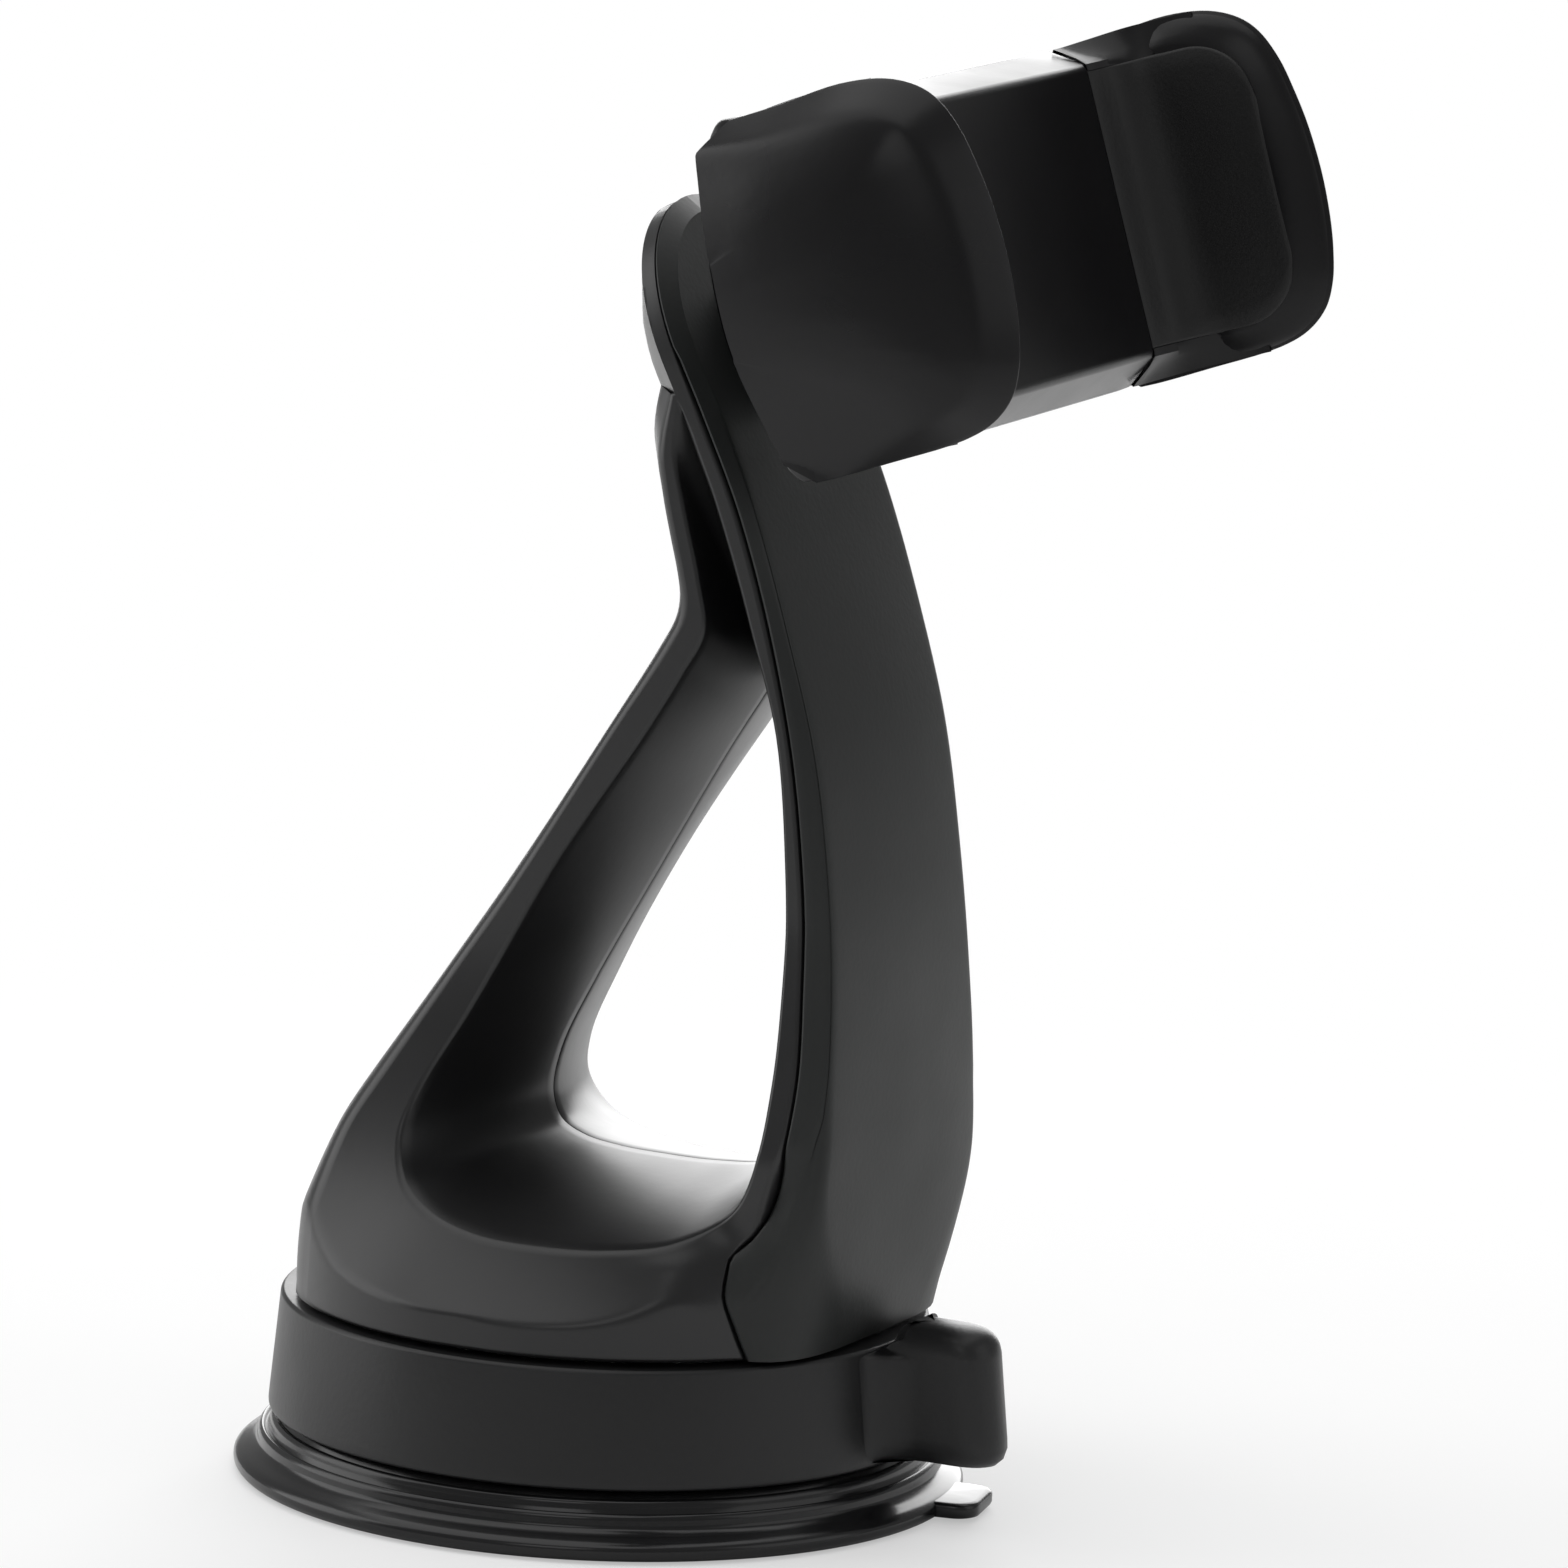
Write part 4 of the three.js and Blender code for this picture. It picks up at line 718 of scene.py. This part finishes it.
def build_plate():
    """The holder's front plate with a seat at each end for a jaw's foot, its back tray and its socket."""
    front = rounded([(25.95, -9, 0.2), (20.3, -6.25, 0.7), (20, -5.6, 0.5), (20, 25.6, 0.5), (20.3, 26.2, 0.7),
                     (25.95, 28.6, 0.2), (25.95, 26.4), (22.2, 24.4), (22.2, -4.4), (25.95, -7)], 0.2, 4)
    ends = [33.1, SEAT_X, 33.3, 38.6, 38.8, PLATE_HALF]
    stations = [-x for x in reversed(ends)] + [mix(-32.8, 32.8, k / 10) for k in range(11)] + ends
    rings = []
    for x in stations:
        seat = PLATE_FRONT
        if abs(x) > SEAT_X - 0.05:
            seat += SEAT_DEPTH if abs(x) > SEAT_X + 0.05 else 0.1
        inset = 0.25 if abs(x) > 38.85 else (0.08 if abs(x) > 38.7 else 0)
        rings.append([(x, max(y + inset * 0.5, seat), z * (1 - inset / 18)) for y, z in front])
    plate = skin("holder_front_skin", rings, HOLDER, sharp=35)
    finish_piece(plate, JAW, "holder", ["holder_front"])

    back = rounded([(26.15, -9, 0.2), (28.5, -9.3, 0.8), (30, -7.5, 0.8), (30, 27.1, 0.8), (28.5, 28.8, 0.8),
                    (26.15, 28.6, 0.2), (26.15, 26.6), (28, 26.6), (28, -7), (26.15, -7)], 0.2, 5)
    tray = extruded_x("holder_back_skin", densify(back, 2.5), -PLATE_HALF, PLATE_HALF, HOLDER, 0.4, 24)
    holes = []
    for x, z in ((-30, 22.8), (-8, 22.8), (30, -3.3), (8, -3.3)):
        bpy.ops.mesh.primitive_cylinder_add(vertices=32, radius=2.7 * MM, depth=4 * MM)
        hole = bpy.context.object
        spot = HOLDER @ Matrix.Translation((x, 31.4, z)) @ Matrix.Rotation(math.radians(90), 4, "X")
        hole.matrix_world = Matrix.Translation(spot.translation * MM) @ spot.to_3x3().to_4x4()
        holes.append(hole)
    cut(tray, holes)
    finish_piece(tray, BODY, "holder", ["holder_back"])
    bowl = arc(9.9, 2, 115, 26)
    mouth = bowl[-1]
    outline = bowl + [(mouth[0] + 0.8, mouth[1] - 0.5, 0.2), (12.2, mouth[1] - 0.5, 0.3), (12.2, 8.9, 0.4),
                      (14.2, 8.9, 0.5), (14.2, 9.75, 0.2), (8.2, 11.1), (0.2, 11.1)]
    socket = lathe("socket_skin", outline, SOCKET, segments=96, radius=0.05)
    finish_piece(socket, BODY, "holder", None)


def cut(obj, tools):
    """Subtracts the tool objects from obj and removes them."""
    bpy.context.view_layer.update()
    for tool in tools:
        change = obj.modifiers.new("hole", "BOOLEAN")
        change.operation = "DIFFERENCE"
        change.object = tool
        change.solver = "EXACT"
    bpy.context.view_layer.update()
    done = bpy.data.meshes.new_from_object(obj.evaluated_get(bpy.context.evaluated_depsgraph_get()))
    obj.modifiers.clear()
    obj.data = done
    for tool in tools:
        bpy.data.objects.remove(tool)


# The jaw: its rim as (y, z); x along its back edge by height; x of the lip round the pad and of the outer
# shell by the distance in from the rim (the lip as (x, distance), the shell as (distance, x)).
JAW_OUTLINE = [(26, -9.4), (23.6, -9.4), (17.5, -9.1), (8.6, -8.5), (4.9, -7.4), (2.3, -5.4), (0.8, -2.7), (0.0, 0.2),
               (-0.5, 3.2), (-0.8, 7.2), (-0.8, 10.3), (-0.5, 14.5), (0.1, 18.2), (1.0, 22), (2.6, 25.4), (4.5, 27.3),
               (7.8, 28.8), (12.9, 29.4), (20.1, 28.8), (23.6, 28.6), (26, 28.5)]
JAW_BACK = [(-9.4, 39.7), (-7.5, 40.4), (-3.1, 42.6), (2, 45.2), (6.3, 46.6), (11, 46.8), (16.1, 46.2), (19.7, 45.5),
            (23.3, 44.5), (25.6, 43.8), (26.4, 43.3), (27.4, 42.1), (28.5, 40.9)]
JAW_LIP = [(39.2, 4.3), (39.25, 3.8), (39.5, 2.9), (39.8, 1.95), (40.1, 1.1), (40.4, 0.62), (40.54, 0.5),
           (40.62, 0.44), (40.7, 0.1), (40.8, 0.0)]
JAW_SHELL = [(0.0, 40.9), (0.1, 41.1), (1.2, 42.6), (2.6, 44.4), (3.2, 45.0), (3.8, 45.4), (5.0, 46.0), (7.0, 46.8),
             (9.0, 47.4), (12.0, 47.95), (16.0, 48.25)]
JAW_INSETS = (0.0, 0.05, 0.15, 0.6, 1.2, 1.8, 2.2, 2.5, 2.8, 3.1, 3.4, 3.8, 4.4, 5.2, 6.4, 8, 10, 12, 14, 15.9)
JAW_REACH = 16.0
JAW_SEAM = 26.0
JAW_END = 29.3
PAD_LOW, PAD_HIGH = -5.5, 25.6
PAD_CORNER = 7.0


def jaw_level(rim, inset, lip_x):
    """One level of the jaw, its rim drawn in towards the middle of its back edge."""
    line = np.array(rim)
    stretch = 3.3 * clamp01(inset / 2.6) if lip_x is None else 0.0
    rows = []
    for p in rim:
        aim = np.array((JAW_SEAM, 4.6 + clamp01((p[1] + 5) / 29) * 10))
        length = float(np.linalg.norm(aim - p))
        share = min(inset / JAW_REACH, 1.0)
        q = p + (aim - p) / length * mix(inset, length * share, smooth01(share))
        y, z = q[0] + stretch * smooth01((q[0] - 12) / 14), q[1]
        if lip_x is not None:
            x = lip_x - 0.42 * clamp01((40.4 - lip_x) / 1.2) * (1 - smooth01((y - 13) / 4))
        else:
            a, b = line[:-1], line[1:]
            t = np.clip(((q - a) * (b - a)).sum(1) / ((b - a) ** 2).sum(1), 0, 1)[:, None]
            away = float(np.sqrt((((a + (b - a) * t) - q) ** 2).sum(1)).min())
            x = smooth_min(along(JAW_SHELL, away), along(JAW_BACK, z) + 0.2 * (JAW_END - y), 0.7)
            x = max(x, 40.85)
        rows.append((x, y, z))
    first, last = rows[0], rows[-1]
    follow = smooth01((inset - 5) / 9) if lip_x is None else 0.0
    for k in range(1, 14):
        x, y, z = mix(np.array(last), np.array(first), k / 14)
        rows.append((mix(x, max(x, along(JAW_BACK, z)), follow), y, z))
    return rows


def sweep_pad():
    """Path of the soft pad from the plate round the bend and up the jaw, as (x, y) points."""
    bend = [(33.28, 20.02), (33.5, 19.85), (34.1, 19.55), (35.1, 19.1), (36.2, 18.5), (37.1, 17.7), (37.8, 16.7),
            (38.3, 15.5), (38.55, 14.1), (38.6, 12.4), (38.6, 10.2), (38.6, 8), (38.6, 6), (38.6, 4.6), (38.68, 4.1),
            (38.95, 3.85)]
    return spline(bend, 4)


def facing(path, i):
    """Unit normal of the path at its point i, out of the pad's face."""
    a, b = path[max(i - 1, 0)], path[min(i + 1, len(path) - 1)]
    t = (b - a) / np.linalg.norm(b - a)
    return np.array((t[1], -t[0]))


def build_skirt(sign, name, top):
    """Bevel above or below the soft pad, from the plate round the bend to the rim of the jaw."""
    path = [p for p in sweep_pad() if p[1] > 9.5]
    rings = []
    for i, p in enumerate(path):
        face = facing(path, i)
        turned = smooth01((p[0] - 34.5) / 4.0)
        shallow, deep = mix(0.18, 0.35, turned), mix(5.8, 1.3, turned)
        sink = 0.5 * smooth01((17.0 - p[1]) / 6.5)
        if top:
            flat, fold, outer, away = 25.5, 26.25, mix(28.66, 29.2, turned), 0.3
        else:
            flat, fold, outer, away = -5.45, -6.3, mix(-9.07, -8.75, turned), -0.3
        section = [(flat - away, -0.45), (flat, -0.12 - sink), (fold, -shallow - sink)]
        section += [(mix(fold, outer, k / 5), -mix(shallow, deep, k / 5) - sink) for k in range(1, 6)]
        section += [(outer - away, -deep - 0.3 - sink), (fold, -0.9 - sink)]
        rings.append([(sign * (p + face * d)[0], (p + face * d)[1] - 0.1 * (1 - turned), z) for z, d in section])
    skirt = skin(name + ("_skirt_top" if top else "_skirt_low"), rings, HOLDER, sharp=45)
    finish_piece(skirt, JAW, name, None)


def build_pad(sign, name):
    """The soft pad and its foot on the plate, in one strip."""
    path = sweep_pad()
    rings = []
    for i, p in enumerate(path):
        face = facing(path, i)
        left = clamp01((p[1] - 3.85) / PAD_CORNER)
        short = PAD_CORNER * (1 - math.sqrt(max(1 - (1 - left) ** 2, 0)))
        z0, z1 = PAD_LOW + short, PAD_HIGH - short
        section = [(z0 + 0.5, -0.6), (z0, -0.6), (z0, -0.35), (z0 + 0.12, -0.1), (z0 + 0.4, 0)]
        section += [(mix(z0 + 0.4, z1 - 0.4, k / 16), 0) for k in range(1, 16)]
        section += [(z1 - 0.4, 0), (z1 - 0.12, -0.1), (z1, -0.35), (z1, -0.6), (z1 - 0.5, -0.6)]
        ring = []
        for z, depth in section:
            x, y = p + face * depth
            ring.append((sign * min(x, 39.25), min(y, 20.35), z))
        rings.append(ring)
    pad = skin(name + "_pad_skin", rings, HOLDER, sharp=60)
    finish_piece(pad, PAD, name, [name + "_pad"])


def build_jaw(sign, name):
    """One jaw: the lip round its pad, then the shell drawn in from its rim, the pad and the two bevels."""
    rim = spline(JAW_OUTLINE, 5)
    levels = [jaw_level(rim, inset, x) for x, inset in JAW_LIP]
    levels += [jaw_level(rim, inset, None) for inset in JAW_INSETS]
    rings = [[(sign * x, y, z) for x, y, z in level] for level in levels]
    jaw = skin(name + "_skin", rings, HOLDER, sharp=50)
    finish_piece(jaw, JAW, name, [name])
    build_pad(sign, name)
    build_skirt(sign, name, True)
    build_skirt(sign, name, False)


# ------------------------------------------------------------------ studio

WORLD_LIGHT = 0.3
FLOOR_SIZE = 1.6
FLOOR_CELLS = 24
LAMP_AIM = (0, 0, 0.075)
CAMERA_LENS = 212.0
CAMERA_AIM = (7.51, -15.40, 77.35)
CAMERA_AZIMUTH, CAMERA_ELEVATION, CAMERA_ROLL = -64, 9.66, 2.454


def carry_over():
    """Gives every CAD node the material of its slot."""
    finishes = {"gel": GEL, "inner_plastic": INNER, "steel": STEEL, "body_gloss": BODY, "cup_rubber": CUP,
                "pad_rubber": PAD, "ring_satin": RING, "cover_satin": COVER}
    slots = {entry["node"]: entry["material_slot"] for entry in frame["record"]["subparts"]}
    for name, node in frame["nodes"].items():
        node.data.materials.clear()
        node.data.materials.append(finishes[slots[name]])


def area(name, place, size, power):
    """Soft rectangular lamp that points at the part."""
    light = bpy.data.lights.new(name, "AREA")
    light.shape = "RECTANGLE"
    light.size, light.size_y = size
    light.energy = power
    obj = bpy.data.objects.new(name, light)
    bpy.context.scene.collection.objects.link(obj)
    obj.location = place
    obj.rotation_euler = (Vector(LAMP_AIM) - Vector(place)).to_track_quat("-Z", "Y").to_euler()
    obj.visible_camera = False


def build_world():
    """Plain light, white where the camera sees it."""
    world = bpy.data.worlds.new("studio")
    bpy.context.scene.world = world
    world.use_nodes = True
    nodes, links = world.node_tree.nodes, world.node_tree.links
    back = nodes["Background"]
    back.inputs["Color"].default_value = (1, 1, 1, 1)
    back.inputs["Strength"].default_value = WORLD_LIGHT
    white = nodes.new("ShaderNodeBackground")
    white.inputs["Color"].default_value = (1, 1, 1, 1)
    white.inputs["Strength"].default_value = 1.0
    path = nodes.new("ShaderNodeLightPath")
    pick = nodes.new("ShaderNodeMixShader")
    links.new(path.outputs["Is Camera Ray"], pick.inputs["Fac"])
    links.new(back.outputs["Background"], pick.inputs[1])
    links.new(white.outputs["Background"], pick.inputs[2])
    links.new(pick.outputs["Shader"], nodes["World Output"].inputs["Surface"])


def floor_finish():
    """Pale floor that keeps the part's shadow and fades to white away from it where the camera sees it."""
    material = bpy.data.materials.new("floor_white")
    material.use_nodes = True
    nodes, links = material.node_tree.nodes, material.node_tree.links
    shader = nodes["Principled BSDF"]
    shader.inputs["Roughness"].default_value = 0.9
    shader.inputs["Specular IOR Level"].default_value = 0.0
    speck = nodes.new("ShaderNodeTexNoise")
    speck.inputs["Scale"].default_value = 30.0
    tone = nodes.new("ShaderNodeMapRange")
    tone.inputs["To Min"].default_value = 0.90
    tone.inputs["To Max"].default_value = 0.93
    links.new(speck.outputs["Fac"], tone.inputs["Value"])
    links.new(tone.outputs["Result"], shader.inputs["Base Color"])
    glow = nodes.new("ShaderNodeEmission")
    glow.inputs["Color"].default_value = (1, 1, 1, 1)
    glow.inputs["Strength"].default_value = 1.0
    spot = nodes.new("ShaderNodeTexCoord")
    far = nodes.new("ShaderNodeVectorMath")
    far.operation = "LENGTH"
    fade = nodes.new("ShaderNodeMapRange")
    fade.interpolation_type = "SMOOTHSTEP"
    fade.inputs["From Min"].default_value = 0.06
    fade.inputs["From Max"].default_value = 0.3
    fade.inputs["To Min"].default_value = 0.45
    fade.inputs["To Max"].default_value = 1.0
    links.new(spot.outputs["Object"], far.inputs[0])
    links.new(far.outputs["Value"], fade.inputs["Value"])
    seen = nodes.new("ShaderNodeLightPath")
    share = nodes.new("ShaderNodeMath")
    share.operation = "MULTIPLY"
    links.new(seen.outputs["Is Camera Ray"], share.inputs[0])
    links.new(fade.outputs["Result"], share.inputs[1])
    blend = nodes.new("ShaderNodeMixShader")
    links.new(share.outputs["Value"], blend.inputs["Fac"])
    links.new(shader.outputs["BSDF"], blend.inputs[1])
    links.new(glow.outputs["Emission"], blend.inputs[2])
    links.new(blend.outputs["Shader"], nodes["Material Output"].inputs["Surface"])
    return material


def build_studio():
    """World, floor and lamps."""
    build_world()
    half, cells = FLOOR_SIZE / 2 / MM, FLOOR_CELLS
    line = [half * (2 * k / cells - 1) for k in range(cells + 1)]
    verts = [(x, y, 0) for x in line for y in line]
    row = cells + 1
    faces = [(i * row + j, i * row + j + 1, (i + 1) * row + j + 1, (i + 1) * row + j)
             for i in range(cells) for j in range(cells)]
    floor = new_object("floor", verts, faces)
    floor.location.z = -0.0002
    floor.data.materials.append(floor_finish())

    area("softbox_top", (0.0, 0.15, 1.1), (1.4, 1.4), 7.0)
    area("softbox_left_back", (-0.35, 1.1, 0.45), (0.9, 1.1), 6.0)
    area("softbox_right_back", (1.1, 0.35, 0.4), (0.9, 1.2), 12.0)
    area("softbox_front", (0.1, -1.3, 0.6), (1.0, 1.0), 2.0)
    area("softbox_left_front", (-1.2, -0.25, 0.75), (0.5, 0.5), 1.0)


def build_camera():
    """The photograph's viewpoint: a long lens one metre from the part's middle."""
    camera = bpy.data.cameras.new("camera")
    camera.lens = CAMERA_LENS
    camera.sensor_width = 36.0
    camera.clip_start = 0.05
    camera.clip_end = 20
    obj = bpy.data.objects.new("camera", camera)
    bpy.context.scene.collection.objects.link(obj)
    target = Vector(CAMERA_AIM) * MM
    azimuth, elevation = math.radians(CAMERA_AZIMUTH), math.radians(CAMERA_ELEVATION)
    level = math.cos(elevation)
    away = Vector((math.sin(azimuth) * level, -math.cos(azimuth) * level, math.sin(elevation)))
    obj.location = target + away
    look = (target - obj.location).to_track_quat("-Z", "Y").to_matrix().to_4x4()
    roll = Matrix.Rotation(math.radians(CAMERA_ROLL), 4, "Z")
    obj.matrix_world = Matrix.Translation(obj.location) @ look @ roll
    bpy.context.scene.camera = obj


carry_over()
build_arm()
build_cover()
build_base()
build_ball()
build_plate()
build_jaw(1, "right_jaw")
build_jaw(-1, "left_jaw")
build_studio()
build_camera()
bpy.context.scene.view_settings.view_transform = "Standard"
